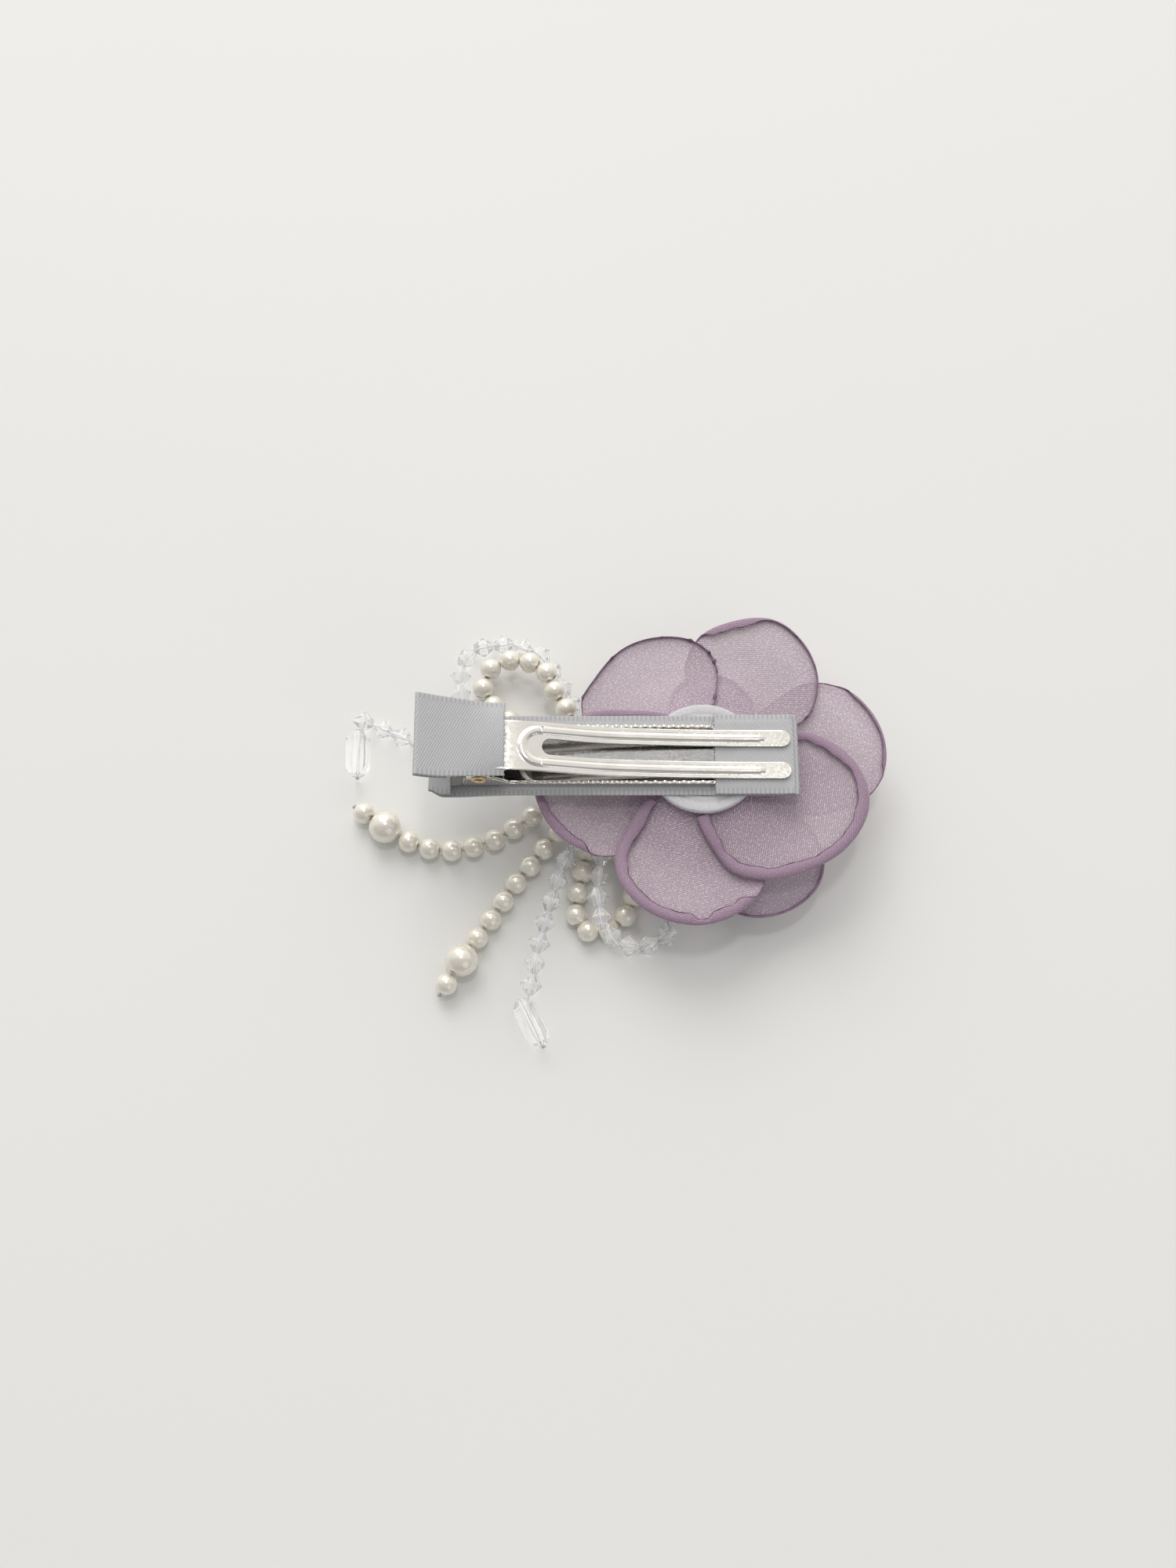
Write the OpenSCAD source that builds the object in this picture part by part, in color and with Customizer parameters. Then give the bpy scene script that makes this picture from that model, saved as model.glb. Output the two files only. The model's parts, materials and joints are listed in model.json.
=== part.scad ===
// Hair clip with an organza flower and a bow of strung beads.
// It lies flower-face down: +X from the handles to the prong tips, +Z up through the back of the clip.
// All modules are drawn with the hinge axis at x = 0, y = 0 and are moved to the part's origin at the end.

/* [Clip] */
// Length of the jaw from the hinge axis to the metal tip
jaw_len = 55.4; // [46:0.2:64]
// Length of both handles behind the hinge axis
handle_len = 10.2; // [9:0.2:12]
// Width of the base arm
base_w = 11; // [10:0.5:13]
// Width of the two-pronged arm
prong_w = 9; // [8:0.25:9.5]
// Width of the slot between the prongs
slot_w = 3; // [2:0.1:4]
// Thickness of the stamped steel sheet
sheet_t = 0.5; // [0.4:0.05:0.6]
// Height of the hinge axis above the base sheet
hinge_rise = 4; // [3.6:0.1:4.6]
// Radius of the pivot holes in the base arm's ears
ear_hole_r = 1.1; // [0.95:0.05:1.3]
// Radial clearance between the prong arm's bosses and the base arm's ear holes
ear_fit = 0.05; // [0.02:0.01:0.1]

/* [Ribbon and felt] */
// Width of the ribbon glued round the clip
ribbon_w = 15; // [12:0.5:18]
// Thickness of the ribbon
ribbon_t = 0.3; // [0.2:0.05:0.4]
// Length of the pad folded back over the tip
pad_len = 13.5; // [10:0.5:18]
// Diameter of the felt disc
felt_d = 20.5; // [16:0.5:24]
// Thickness of the felt disc
felt_t = 1.5; // [1:0.1:2]

/* [Flower] */
// Size of the petals, as a share of the drawn outlines
petal_scale = 1; // [0.8:0.02:1.2]
// Thickness of a petal
petal_t = 0.24; // [0.16:0.02:0.3]
// Height of the felt's underside above the table
felt_z = 14; // [13:0.25:18]
// Height of the curled rim on an outer petal
curl_h = 1.8; // [0.5:0.1:3]

/* [Beads] */
// Diameter of a small pearl
pearl_d = 4; // [3:0.1:4.2]
// Diameter of a large pearl
big_pearl_d = 6; // [5:0.1:6.5]
// Diameter of the thread hole through a pearl
pearl_hole_d = 1; // [0.8:0.05:1.2]
// Width of a faceted crystal
crystal_d = 4; // [3:0.1:4.2]
// Length of a faceted crystal
crystal_len = 3.8; // [3:0.1:4]
// Thickness of the beading thread
thread_d = 0.4; // [0.3:0.02:0.5]

/* [Hidden] */
$fn = 48;

gap = 0.02;                                  // glued faces stand this far apart
flower_c = [40, 0];                          // centre of the flower and the felt disc
base_z = felt_z + felt_t + gap + ribbon_t + gap;
base_top = base_z + sheet_t;
hinge_z = base_z + hinge_rise;
pad_top = base_top + gap + ribbon_t;

// ---- Curves -------------------------------------------------------------------------------------
function smooth(v) = let (c = max(0, min(1, v))) c * c * (3 - 2 * c);
function spline(p0, p1, p2, p3, t) =
    0.5 * (2 * p1 + (p2 - p0) * t
        + (2 * p0 - 5 * p1 + 4 * p2 - p3) * t * t
        + (3 * p1 - p0 - 3 * p2 + p3) * t * t * t);
// Point at share s of a smooth curve through the listed points
function curve(pts, s) =
    let (n = len(pts) - 1, f = s * n, i = min(floor(f), n - 1))
    spline(pts[max(i - 1, 0)], pts[i], pts[i + 1], pts[min(i + 2, n)], f - i);
function curve_points(pts, count) = [for (k = [0:count]) curve(pts, k / count)];
function unit(v) = v / norm(v);
function left_normal(v) = [-v[1], v[0]];
function run_at(pts, i) = unit(pts[min(i + 1, len(pts) - 1)] - pts[max(i - 1, 0)]);
// Closed outline of a strip of thickness t whose right-hand face follows pts
function strip(pts, t) = concat(
    pts,
    [for (i = [len(pts) - 1:-1:0]) pts[i] + t * left_normal(run_at(pts, i))]
);
// Solid of a side outline, drawn in x and z and as wide as w, centred on y
module side(w, y = 0) {
    translate([0, y + w / 2, 0]) rotate([90, 0, 0]) linear_extrude(w) children();
}

// ---- Metal clip ---------------------------------------------------------------------------------
tooth_pitch = 1.7;
flange_h = 0.7;
tooth_h = 0.6;
ear_r = 2.3;
boss_r = ear_hole_r - ear_fit;               // hollow boss pressed out of each prong ear
boss_wall = 0.35;
boss_len = base_w + 0.5;
flange_end = jaw_len - pad_len - 0.7;
lower_handle_len = handle_len - 1.6;
handle_drop = 0.8;                           // how far the lower handle dips below the arm
flange_start = 6.5;
teeth = floor((flange_end - flange_start) / tooth_pitch);
prong_end = jaw_len;
slot_start = 11;
prong_each = (prong_w - slot_w) / 2;

module tip_plan(len, w, r) {
    hull() {
        translate([-lower_handle_len, -w / 2]) square([1, w]);
        for (y = [-1, 1]) translate([len - r, y * (w / 2 - r)]) circle(r);
    }
}

// Side outline of a flange with its teeth and the ear that carries the pivot hole
module flange_side() {
    polygon(concat(
        [[-ear_r - 0.6, base_z], [-ear_r, hinge_z], [ear_r, hinge_z]],
        [[flange_start - 1, base_top + flange_h]],
        [for (i = [0:teeth - 1], k = [0, 1])
            [flange_start + (i + k / 2) * tooth_pitch, base_top + flange_h + k * tooth_h]],
        [[flange_end, base_top + flange_h], [flange_end + 0.6, base_z]]
    ));
    translate([0, hinge_z]) circle(ear_r);
}

module base_arm() {
    color("silver") difference() {
        union() {
            intersection() {
                translate([0, 0, base_z - 2]) linear_extrude(4) tip_plan(jaw_len, base_w, 2.5);
                side(base_w) polygon([
                    [-lower_handle_len, base_z - handle_drop], [-3, base_z], [jaw_len, base_z],
                    [jaw_len, base_top], [-3, base_top], [-lower_handle_len, base_top - handle_drop]
                ]);
            }
            for (y = [-1, 1]) {
                side(sheet_t, y * (base_w - sheet_t) / 2) flange_side();
            }
        }
        translate([0, 0, hinge_z]) rotate([90, 0, 0]) cylinder(r = ear_hole_r, h = base_w + 4, center = true);
    }
}

// Lower face of the two-pronged arm, from the handle's end over the hinge to the tips
handle_slope = 28;
prong_tip_z = pad_top + 0.05;
prong_face = [
    [-handle_len, hinge_z + 2 + (handle_len - 1) * tan(handle_slope)],
    [-6, hinge_z + 2 + 5 * tan(handle_slope)],
    [-3, hinge_z + 2 + 2 * tan(handle_slope)],
    [-0.5, hinge_z + 2.1],
    [5.5, hinge_z + 2.1],
    [0.21 * jaw_len, hinge_z + 1],
    [0.36 * jaw_len, prong_tip_z + 2.1],
    [0.5 * jaw_len, prong_tip_z + 1.15],
    [0.65 * jaw_len, prong_tip_z + 0.5],
    [0.8 * jaw_len, prong_tip_z + 0.1],
    [0.9 * jaw_len, prong_tip_z],
    [prong_end, prong_tip_z]
];
prong_curve = curve_points(prong_face, 44);

module prong_plan() {
    difference() {
        union() {
            translate([-handle_len, -prong_w / 2]) square([handle_len + jaw_len - 4, prong_w]);
            for (y = [-1, 1]) translate([0, y * (slot_w + prong_each) / 2]) {
                translate([jaw_len - prong_each / 2, 0]) circle(d = prong_each);
                translate([jaw_len - 6, -prong_each / 2]) square([6 - prong_each / 2, prong_each]);
            }
        }
        translate([slot_start + slot_w / 2, 0]) circle(d = slot_w);
        translate([slot_start + slot_w / 2, -slot_w / 2]) square([jaw_len, slot_w]);
    }
}

// Plan of the stiffening ridge that runs round the slot and along each prong
module ridge_plan() {
    ridge_w = 1;
    mid = (slot_w + prong_each) / 2;
    start = slot_start - 3.4 + mid;
    difference() {
        union() {
            translate([start, 0]) circle(mid + ridge_w / 2);
            translate([start, -mid - ridge_w / 2]) square([jaw_len - 5 - start, 2 * mid + ridge_w]);
        }
        translate([start, 0]) circle(mid - ridge_w / 2);
        translate([start, -mid + ridge_w / 2]) square([jaw_len, 2 * mid - ridge_w]);
    }
}

module prong_arm() {
    ear_y = (prong_w - sheet_t) / 2;
    color("silver") difference() {
        union() {
            intersection() {
                translate([0, 0, base_top]) linear_extrude(20) prong_plan();
                side(prong_w + 1) polygon(strip(prong_curve, sheet_t));
            }
            intersection() {
                translate([0, 0, base_top]) linear_extrude(20) ridge_plan();
                side(prong_w + 1) polygon(strip(prong_curve, sheet_t + 0.25));
            }
            for (y = [-1, 1]) side(sheet_t, y * ear_y) {
                translate([0, hinge_z]) circle(ear_r - 0.3);
                polygon([[-1.8, hinge_z], [2, hinge_z], [5.5, hinge_z + 2.2], [-1.8, hinge_z + 2.5]]);
            }
            translate([0, 0, hinge_z]) rotate([90, 0, 0]) cylinder(r = boss_r, h = boss_len, center = true);
        }
        translate([0, 0, hinge_z]) rotate([90, 0, 0]) {
            cylinder(r = boss_r - boss_wall, h = boss_len + 1, center = true);
            cylinder(r = ear_r, h = prong_w - 2 * sheet_t, center = true);
        }
    }
}

// ---- Tubes and strips --------------------------------------------------------------------------
// Tube of diameter d along the listed points; ref is never parallel to the run
module tube(pts, d, ref, sides = 8) {
    rings = len(pts);
    ring_points = [
        for (i = [0:rings - 1])
            let (run = run_at(pts, i), u = unit(cross(run, ref)), v = cross(run, u))
            for (k = [0:sides - 1]) pts[i] + d / 2 * (cos(360 * k / sides) * u + sin(360 * k / sides) * v)
    ];
    walls = [
        for (i = [0:rings - 2], k = [0:sides - 1])
            let (a = i * sides + k, b = i * sides + (k + 1) % sides)
            [a, b, b + sides, a + sides]
    ];
    polyhedron(ring_points, concat(
        [[for (k = [sides - 1:-1:0]) k]],
        walls,
        [[for (k = [0:sides - 1]) (rings - 1) * sides + k]]
    ));
}

// ---- Coil spring --------------------------------------------------------------------------------
wire_d = 0.5;
coil_r = 1.35;
coil_turns = 5;
coil_len = prong_w - 2 * sheet_t - 1;
steps_per_turn = 12;
leg_x = -4.5;
spring_path = concat(
    [[leg_x, -coil_len / 2, base_top + 0.35], [leg_x / 2, -coil_len / 2, hinge_z - coil_r - 0.75]],
    [for (i = [0:coil_turns * steps_per_turn + 6]) let (a = 270 + 360 * i / steps_per_turn)
        [
            coil_r * cos(a),
            coil_len * (i / (coil_turns * steps_per_turn + 6) - 0.5),
            hinge_z + coil_r * sin(a)
        ]],
    [[leg_x / 2, coil_len / 2, hinge_z + coil_r + 0.6], [leg_x, coil_len / 2, hinge_z + 3.4]]
);

module hinge_spring() {
    color("peru") tube(spring_path, wire_d, [0, 1, 0], 6);
}

// ---- Ribbon -------------------------------------------------------------------------------------
ribbon_y = 0.3;
turn_r = sheet_t / 2 + gap;                  // half the height of a fold round a sheet edge
// Inner faces of the ribbon strips, in x and z; each strip is laid on the left of its face
function fold(x, z, r, from, to, steps = 6) =
    [for (k = [0:steps]) let (a = from + (to - from) * k / steps) [x + r * cos(a), z + r * sin(a)]];
ribbon_lower_face = concat(
    [[jaw_len - pad_len, base_top + gap]],
    fold(jaw_len + 0.3, base_z + sheet_t / 2, turn_r, 90, -90),
    [[9, base_z - gap], [5, base_z - 0.12], [1, base_z - 0.55]],
    [[-3, base_z - 1.1], [-6, base_z - 1.25]],
    fold(-lower_handle_len - 0.15, base_z - handle_drop + sheet_t / 2 - 0.05, turn_r + 0.05, 270, 90),
    [[-5.2, base_top - 0.25 + gap]]
);
upper_end_z = prong_face[0][1];
ribbon_upper_face = [
    [4.5, prong_face[4][1] + sheet_t + 0.35 + gap],
    [2, prong_face[4][1] + sheet_t + 0.4 + gap],
    [-1, prong_face[3][1] + sheet_t + 0.4 + gap],
    [-3, prong_face[2][1] + sheet_t / cos(handle_slope) + 0.1 + gap],
    [-6, prong_face[1][1] + sheet_t / cos(handle_slope) + gap],
    [-handle_len, upper_end_z + sheet_t / cos(handle_slope) + gap],
    [-handle_len - 0.32, upper_end_z + sheet_t + 0.05],
    [-handle_len - 0.36, upper_end_z + 0.1],
    [-handle_len, upper_end_z - 0.03],
    [-6, prong_face[1][1] - gap],
    [-5.2, prong_face[1][1] - gap - 0.8 * tan(handle_slope)]
];

module ribbon_lower() {
    color([0.62, 0.62, 0.65]) side(ribbon_w, ribbon_y) polygon(strip(ribbon_lower_face, ribbon_t));
}

module ribbon_upper() {
    color([0.66, 0.66, 0.69]) side(ribbon_w, ribbon_y + 0.4) polygon(strip(ribbon_upper_face, -ribbon_t));
}

// ---- Felt disc ----------------------------------------------------------------------------------
module felt_disc() {
    color([0.95, 0.94, 0.97]) translate([flower_c[0], flower_c[1], felt_z])
        rotate_extrude($fn = 72) polygon([
            [0, 0], [felt_d / 2 - 0.2, 0], [felt_d / 2, 0.3], [felt_d / 2, felt_t - 0.3],
            [felt_d / 2 - 0.2, felt_t], [0, felt_t]
        ]);
}

// ---- Petals -------------------------------------------------------------------------------------
// Rims are angle and reach from the flower's centre, running the same way round. The curl is the
// stretch of rim, as two angles, that no higher petal covers.
outer_rims = [
    [
        [-97, 11], [-86, 16], [-77, 21], [-64, 24.5], [-48, 27.5], [-33, 30],
        [-18, 30.8], [-6, 29], [6, 25], [18, 19], [24, 11]
    ],
    [
        [-146, 12], [-139, 18], [-131, 24.5], [-118, 28.5], [-103, 30.3],
        [-88, 30], [-74, 27.5], [-62, 23], [-56, 12]
    ],
    [
        [124, 11], [140, 16], [154, 23], [168, 28], [180, 30.7], [192, 31],
        [205, 30], [216, 27.5], [226, 24], [232, 18], [236, 11]
    ],
    [[78, 12], [80, 19], [88, 23.5], [102, 26], [120, 27], [138, 26], [152, 25], [165, 20], [170, 12]],
    [
        [22, 12], [25, 21], [31, 25], [40, 28.5], [52, 31.2],
        [64, 32], [78, 29], [90, 25.5], [98, 20], [100, 12]
    ],
    [[-32, 12], [-26, 20], [-14, 29], [-4, 32.8], [8, 34], [20, 33], [32, 30], [42, 24], [46, 12]]
];
outer_curls = [[-110, 40], [-160, -68], [110, 222], [60, 152], [10, 86], [-8, 32]];
outer_curl_sizes = [1, 1, 1, 0.35, 0.45, 0.55];
inner_rims = [
    [[-98, 8], [-90, 20], [-78, 27.5], [-62, 30.4], [-46, 30], [-34, 26], [-26, 19], [-20, 8]],
    [[-32, 8], [-24, 15], [-8, 20], [10, 21.5], [28, 20], [44, 15], [50, 8]],
    [[38, 8], [46, 15], [60, 19.5], [80, 21.5], [98, 20], [112, 15], [118, 8]],
    [[108, 8], [118, 13], [134, 15.5], [154, 16.5], [172, 15.5], [188, 13], [196, 8]],
    [[184, 8], [194, 13], [208, 15.5], [226, 16.5], [244, 15.5], [258, 13], [266, 8]]
];
inner_drops = [2.3, 6.6, 6.6, 6.6, 6.6];
inner_curls = [[-110, 0], [-16, 62], [54, 130], [122, 210], [200, 256]];
petal_root_r = 4;
stack_step = petal_t + 0.1;                  // between two petals at the flower's centre
puff_step = 0.34;                            // added to that step further out
inner_z = felt_z - 0.4 - 6 * stack_step - 5 * puff_step;

function rim_xy(rim, s, t) =
    let (
        p = curve(rim, s),
        axis = (rim[0][0] + rim[len(rim) - 1][0]) / 2,
        a = axis + (p[0] - axis) * (0.7 + 0.3 * t),
        r = petal_root_r + (petal_scale * p[1] - petal_root_r) * t
    )
    [a, r];
function rim_window(a, lims) = smooth((a - lims[0]) / 8) * smooth((lims[1] - a) / 8);
// Height of outer petal i at angle a, radius r and share t of the way to its rim
function outer_height(i, a, r, t) =
    felt_z - 0.35 - i * (stack_step + puff_step * smooth((r - 6) / 8))
    - 1.4 * sin(180 * smooth((r - 8) / 24))
    + 0.12 * sin(6 * a) * smooth((r - 8) / 10)
    + curl_h * outer_curl_sizes[i] * rim_window(a, outer_curls[i]) * pow(max(0, t - 0.84) / 0.16, 1.5);
function inner_height(i, a, r, t) =
    inner_z - i * stack_step - inner_drops[i] * smooth((r - 5) / 14)
    + 0.5 * curl_h * rim_window(a, inner_curls[i]) * pow(max(0, t - 0.8) / 0.2, 1.5);
function petal_point(rim, s, t, i, outer) =
    let (q = rim_xy(rim, s, t), z = outer ? outer_height(i, q[0], q[1], t) : inner_height(i, q[0], q[1], t))
    [flower_c[0] + q[1] * cos(q[0]), flower_c[1] + q[1] * sin(q[0]), z];

// Thin shell whose upper face is the petal surface; across counts round the rim, out towards it
module petal(rim, i, outer, across = 20, out = 9) {
    cols = across + 1;
    top = [for (j = [0:out], k = [0:across]) petal_point(rim, k / across, pow(j / out, 0.8), i, outer)];
    n = len(top);
    skins = [
        for (j = [0:out - 1], k = [0:across - 1]) let (a = j * cols + k)
            [a, a + 1, a + 1 + cols, a + cols]
    ];
    edge = concat(
        [for (k = [0:across - 1]) k],
        [for (j = [0:out - 1]) j * cols + across],
        [for (k = [across:-1:1]) out * cols + k],
        [for (j = [out:-1:1]) j * cols]
    );
    polyhedron(
        concat(top, [for (p = top) p - [0, 0, petal_t]]),
        concat(
            [for (f = skins, h = [0, 1]) [f[0], f[h + 1], f[h + 2]]],
            [for (f = skins, h = [0, 1]) [f[0] + n, f[h + 2] + n, f[h + 1] + n]],
            [
                for (e = [0:len(edge) - 1]) let (a = edge[e], b = edge[(e + 1) % len(edge)])
                    [a, a + n, b + n, b]
            ]
        )
    );
}
module outer_petal(i) {
    color([0.72, 0.62, 0.74]) petal(outer_rims[i], i, true);
}
module inner_petal(i) {
    color([0.66, 0.55, 0.7]) petal(inner_rims[i], i, false, 16, 7);
}

// ---- Flower centre ------------------------------------------------------------------------------
centre_pearl_r = 4;
ring_bead_r = 1.5;
ring_count = 10;
module centre_pearl() {
    color("ivory") translate([flower_c[0], flower_c[1], centre_pearl_r]) sphere(centre_pearl_r);
}
module centre_ring() {
    color("ivory") for (k = [0:ring_count - 1])
        translate([flower_c[0], flower_c[1], 3]) rotate([0, 0, 360 * k / ring_count])
            translate([centre_pearl_r + ring_bead_r + 0.05, 0, 0]) sphere(ring_bead_r, $fn = 32);
}

// ---- Bow of beads -------------------------------------------------------------------------------
knot_c = [19.7, -2.5];
knot_r = 1.9;
knot_z = 3.2;
wrap_d = 0.8;
wraps = 6;
// Binding thread wound round the strands where the bow is tied
module bow_knot() {
    color("white") translate([knot_c[0], knot_c[1], knot_z]) rotate_extrude() {
        square([knot_r - wrap_d / 2, wraps * wrap_d]);
        for (k = [0:wraps - 1])
            translate([knot_r - wrap_d / 2, (k + 0.5) * wrap_d]) circle(d = wrap_d, $fn = 16);
    }
}

// Each strand's route runs from the knot to its far end; tails end past their last bead
pearl_tail_left_route = [
    [17.3, -3.3, 5.6], [15, -4.2, 5], [12, -5.6, 3.6], [9, -7, 2.4],
    [6, -9, 2], [2.8, -11.2, 2], [-0.8, -12.5, 2],
    [-4.2, -13.6, 2], [-8, -13.6, 2], [-11.6, -13, 2],
    [-15.2, -11.4, 2.2], [-19.2, -8.8, 3.3], [-24.5, -5, 2]
];
pearl_tail_low_route = [
    [18.2, -4.6, 5.6], [17, -6.5, 5], [15, -9, 3.6], [12.2, -12, 2.4],
    [9.4, -15.4, 2], [6.8, -18.6, 2], [4.6, -21.6, 2],
    [2.6, -25, 2], [0.5, -28, 2], [-1.7, -31.2, 2.2], [-4, -35, 3.3], [-7.6, -40.8, 2]
];
crystal_tail_low_route = [
    [19.4, -4.9, 6.6], [18.2, -8.6, 6.6], [16.6, -13, 6],
    [14.8, -17, 5], [13.4, -20.6, 4.2], [12.2, -24.6, 3],
    [11, -28.7, 2.2], [9.8, -33, 2], [9.2, -37.4, 2], [8.4, -41.4, 2.2], [8.6, -44.5, 2.3], [11.4, -50, 2.3]
];
crystal_tail_left_route = [
    [17.3, -2.2, 4.6], [14, -1.7, 3.5], [10, -1, 2.4], [5, 0.2, 2],
    [0, 2, 2], [-5, 3.6, 2], [-10, 5.6, 2],
    [-15, 8.2, 2], [-18.8, 9.9, 2], [-21.6, 11.2, 2.2], [-23.4, 11.7, 2.3], [-24.3, 11, 2.3],
    [-24, 0.2, 2.3]
];
pearl_loop_up_route = [
    [19.3, -0.1, 5.8], [18.4, 4, 6], [17, 9, 6], [14.8, 13.4, 6], [12.8, 16.6, 6], [11.4, 20.2, 5.8],
    [8.4, 22.6, 5], [4.6, 23.6, 4], [0.8, 22.4, 3.4], [-0.8, 18, 3], [1.8, 13.8, 2.6], [6, 10.6, 2.4],
    [11, 7.8, 3.6], [15.4, 3.8, 5.7], [18, -0.8, 5.8]
];
crystal_loop_up_route = [
    [20.6, -0.2, 4], [20.4, 4, 2.6], [19, 9.4, 2], [17, 13.8, 2],
    [14.8, 17.8, 2], [12.6, 21.8, 2], [10, 25.4, 2],
    [4.6, 27.8, 2], [-1, 27, 2], [-5, 24, 2], [-5.4, 18.4, 2],
    [-3.6, 12.6, 2], [1, 8, 2], [6.4, 5, 2], [12, 2.2, 2.3],
    [17.5, -1.4, 4]
];
pearl_loop_low_route = [
    [20.2, -4.9, 4.2], [20, -9, 2.6], [19, -14, 2], [18, -19, 2],
    [17, -23.4, 2], [17, -27.2, 2], [20.4, -29.6, 2],
    [24.6, -27.6, 2], [27.4, -24.2, 2], [27.6, -20, 2], [25.4, -14.6, 2.2], [23.4, -9, 2.6], [21.6, -4, 4]
];
crystal_loop_low_route = [
    [20.9, -4.6, 7], [22, -9, 6.8], [21.8, -14, 6.2], [21.4, -19, 6],
    [21, -23.4, 6], [21.6, -27.8, 6.2], [24.6, -32, 4.9],
    [29.4, -32, 2.6], [34, -29.4, 2.2], [34.8, -24, 2.6], [31.6, -18.4, 4.4],
    [27.4, -13, 5.6], [24.4, -8, 6.6], [21.7, -3.8, 7]
];

function run_lengths(pts, i = 1, sum = 0) =
    i >= len(pts) ? [sum] : concat([sum], run_lengths(pts, i + 1, sum + norm(pts[i] - pts[i - 1])));
function segment_at(lens, d, i = 1) = i >= len(lens) - 1 || lens[i] >= d ? i : segment_at(lens, d, i + 1);
// Place and direction at distance d along a route
function along(pts, lens, d) =
    let (i = segment_at(lens, d), run = unit(pts[i] - pts[i - 1]))
    [pts[i - 1] + (d - lens[i - 1]) * run, run];

module at(spot) {
    translate(spot[0]) rotate([0, acos(spot[1][2]), atan2(spot[1][1], spot[1][0])]) children();
}
module thread(route) {
    color("white") tube(route, thread_d, [0, 0, 1]);
}
module pearl(d) {
    color("ivory") difference() {
        sphere(d = d);
        cylinder(d = pearl_hole_d, h = d + 1, center = true, $fn = 24);
    }
}
module crystal() {
    end_r = 0.7;
    color([0.85, 0.88, 0.92]) for (m = [0, 1]) mirror([0, 0, m])
        cylinder(r1 = crystal_d / 2, r2 = end_r, h = crystal_len / 2, $fn = 8);
}
module long_crystal() {
    color([0.85, 0.88, 0.92]) for (m = [0, 1]) mirror([0, 0, m]) {
        cylinder(d = 4.6, h = 3, $fn = 6);
        translate([0, 0, 3]) cylinder(r1 = 2.3, r2 = 1.2, h = 1.5, $fn = 6);
    }
}
drop_gap = 0.5;                              // bare thread above a tail's long crystal
end_rest = 0.6;                              // thread left past a tail's last bead
bead_gap = 0.12;
// Beads of length len_each from distance start to distance stop along a route
module string_of(route, start, stop, len_each) {
    lens = run_lengths(route);
    pitch = len_each + bead_gap;
    count = floor((stop - start) / pitch);
    spare = (stop - start) - count * pitch;
    for (k = [0:count - 1]) at(along(route, lens, start + spare + (k + 0.5) * pitch)) children();
}
function total(route) = let (lens = run_lengths(route)) lens[len(lens) - 1];

bare_start = 5.2;                            // bare thread beside the knot

pearl_drop_len = end_rest + pearl_d + big_pearl_d + 2 * bead_gap;
crystal_drop_len = end_rest + 9 + drop_gap;
module pearl_tail_beads(route) {
    string_of(route, bare_start, total(route) - pearl_drop_len, pearl_d) pearl(pearl_d);
}
module pearl_tail_drop(route) {
    lens = run_lengths(route);
    at(along(route, lens, total(route) - end_rest - pearl_d / 2)) pearl(pearl_d);
    at(along(route, lens, total(route) - end_rest - pearl_d - bead_gap - big_pearl_d / 2)) pearl(big_pearl_d);
}
module crystal_tail_beads(route) {
    string_of(route, bare_start, total(route) - crystal_drop_len, crystal_len) crystal();
}
module crystal_tail_drop(route) {
    at(along(route, run_lengths(route), total(route) - end_rest - 4.5)) long_crystal();
}
module pearl_loop_beads(route) {
    string_of(route, bare_start, total(route) - bare_start, pearl_d) pearl(pearl_d);
}
module crystal_loop_beads(route) {
    string_of(route, bare_start, total(route) - bare_start, crystal_len) crystal();
}

// ---- The part's origin: middle of the clip and flower, on the table ------------------------------
function rim_box(rim, n = 48) =
    [
        for (k = [0:n]) let (q = rim_xy(rim, k / n, 1))
            [flower_c[0] + q[1] * cos(q[0]), flower_c[1] + q[1] * sin(q[0])]
    ];
rim_spots = [for (rim = outer_rims, p = rim_box(rim)) p];
ribbon_back_x = -handle_len - 0.323 - ribbon_t;
origin_x = (ribbon_back_x + max([for (p = rim_spots) p[0]])) / 2;
origin_y = (min([for (p = rim_spots) p[1]]) + max([for (p = rim_spots) p[1]])) / 2;
module placed() {
    translate([-origin_x, -origin_y, 0]) children();
}

placed() base_arm();
placed() prong_arm();
placed() hinge_spring();
placed() ribbon_lower();
placed() ribbon_upper();
placed() felt_disc();
placed() outer_petal(0);  // outer_petal_1
placed() outer_petal(1);  // outer_petal_2
placed() outer_petal(2);  // outer_petal_3
placed() outer_petal(3);  // outer_petal_4
placed() outer_petal(4);  // outer_petal_5
placed() outer_petal(5);  // outer_petal_6
placed() inner_petal(0);  // inner_petal_1
placed() inner_petal(1);  // inner_petal_2
placed() inner_petal(2);  // inner_petal_3
placed() inner_petal(3);  // inner_petal_4
placed() inner_petal(4);  // inner_petal_5
placed() centre_pearl();
placed() centre_ring();
placed() bow_knot();
placed() thread(pearl_tail_left_route);  // pearl_tail_left_thread
placed() pearl_tail_beads(pearl_tail_left_route);  // pearl_tail_left_beads
placed() pearl_tail_drop(pearl_tail_left_route);  // pearl_tail_left_drop
placed() thread(pearl_tail_low_route);  // pearl_tail_low_thread
placed() pearl_tail_beads(pearl_tail_low_route);  // pearl_tail_low_beads
placed() pearl_tail_drop(pearl_tail_low_route);  // pearl_tail_low_drop
placed() thread(crystal_tail_low_route);  // crystal_tail_low_thread
placed() crystal_tail_beads(crystal_tail_low_route);  // crystal_tail_low_beads
placed() crystal_tail_drop(crystal_tail_low_route);  // crystal_tail_low_drop
placed() thread(crystal_tail_left_route);  // crystal_tail_left_thread
placed() crystal_tail_beads(crystal_tail_left_route);  // crystal_tail_left_beads
placed() crystal_tail_drop(crystal_tail_left_route);  // crystal_tail_left_drop
placed() thread(pearl_loop_up_route);  // pearl_loop_up_thread
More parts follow.
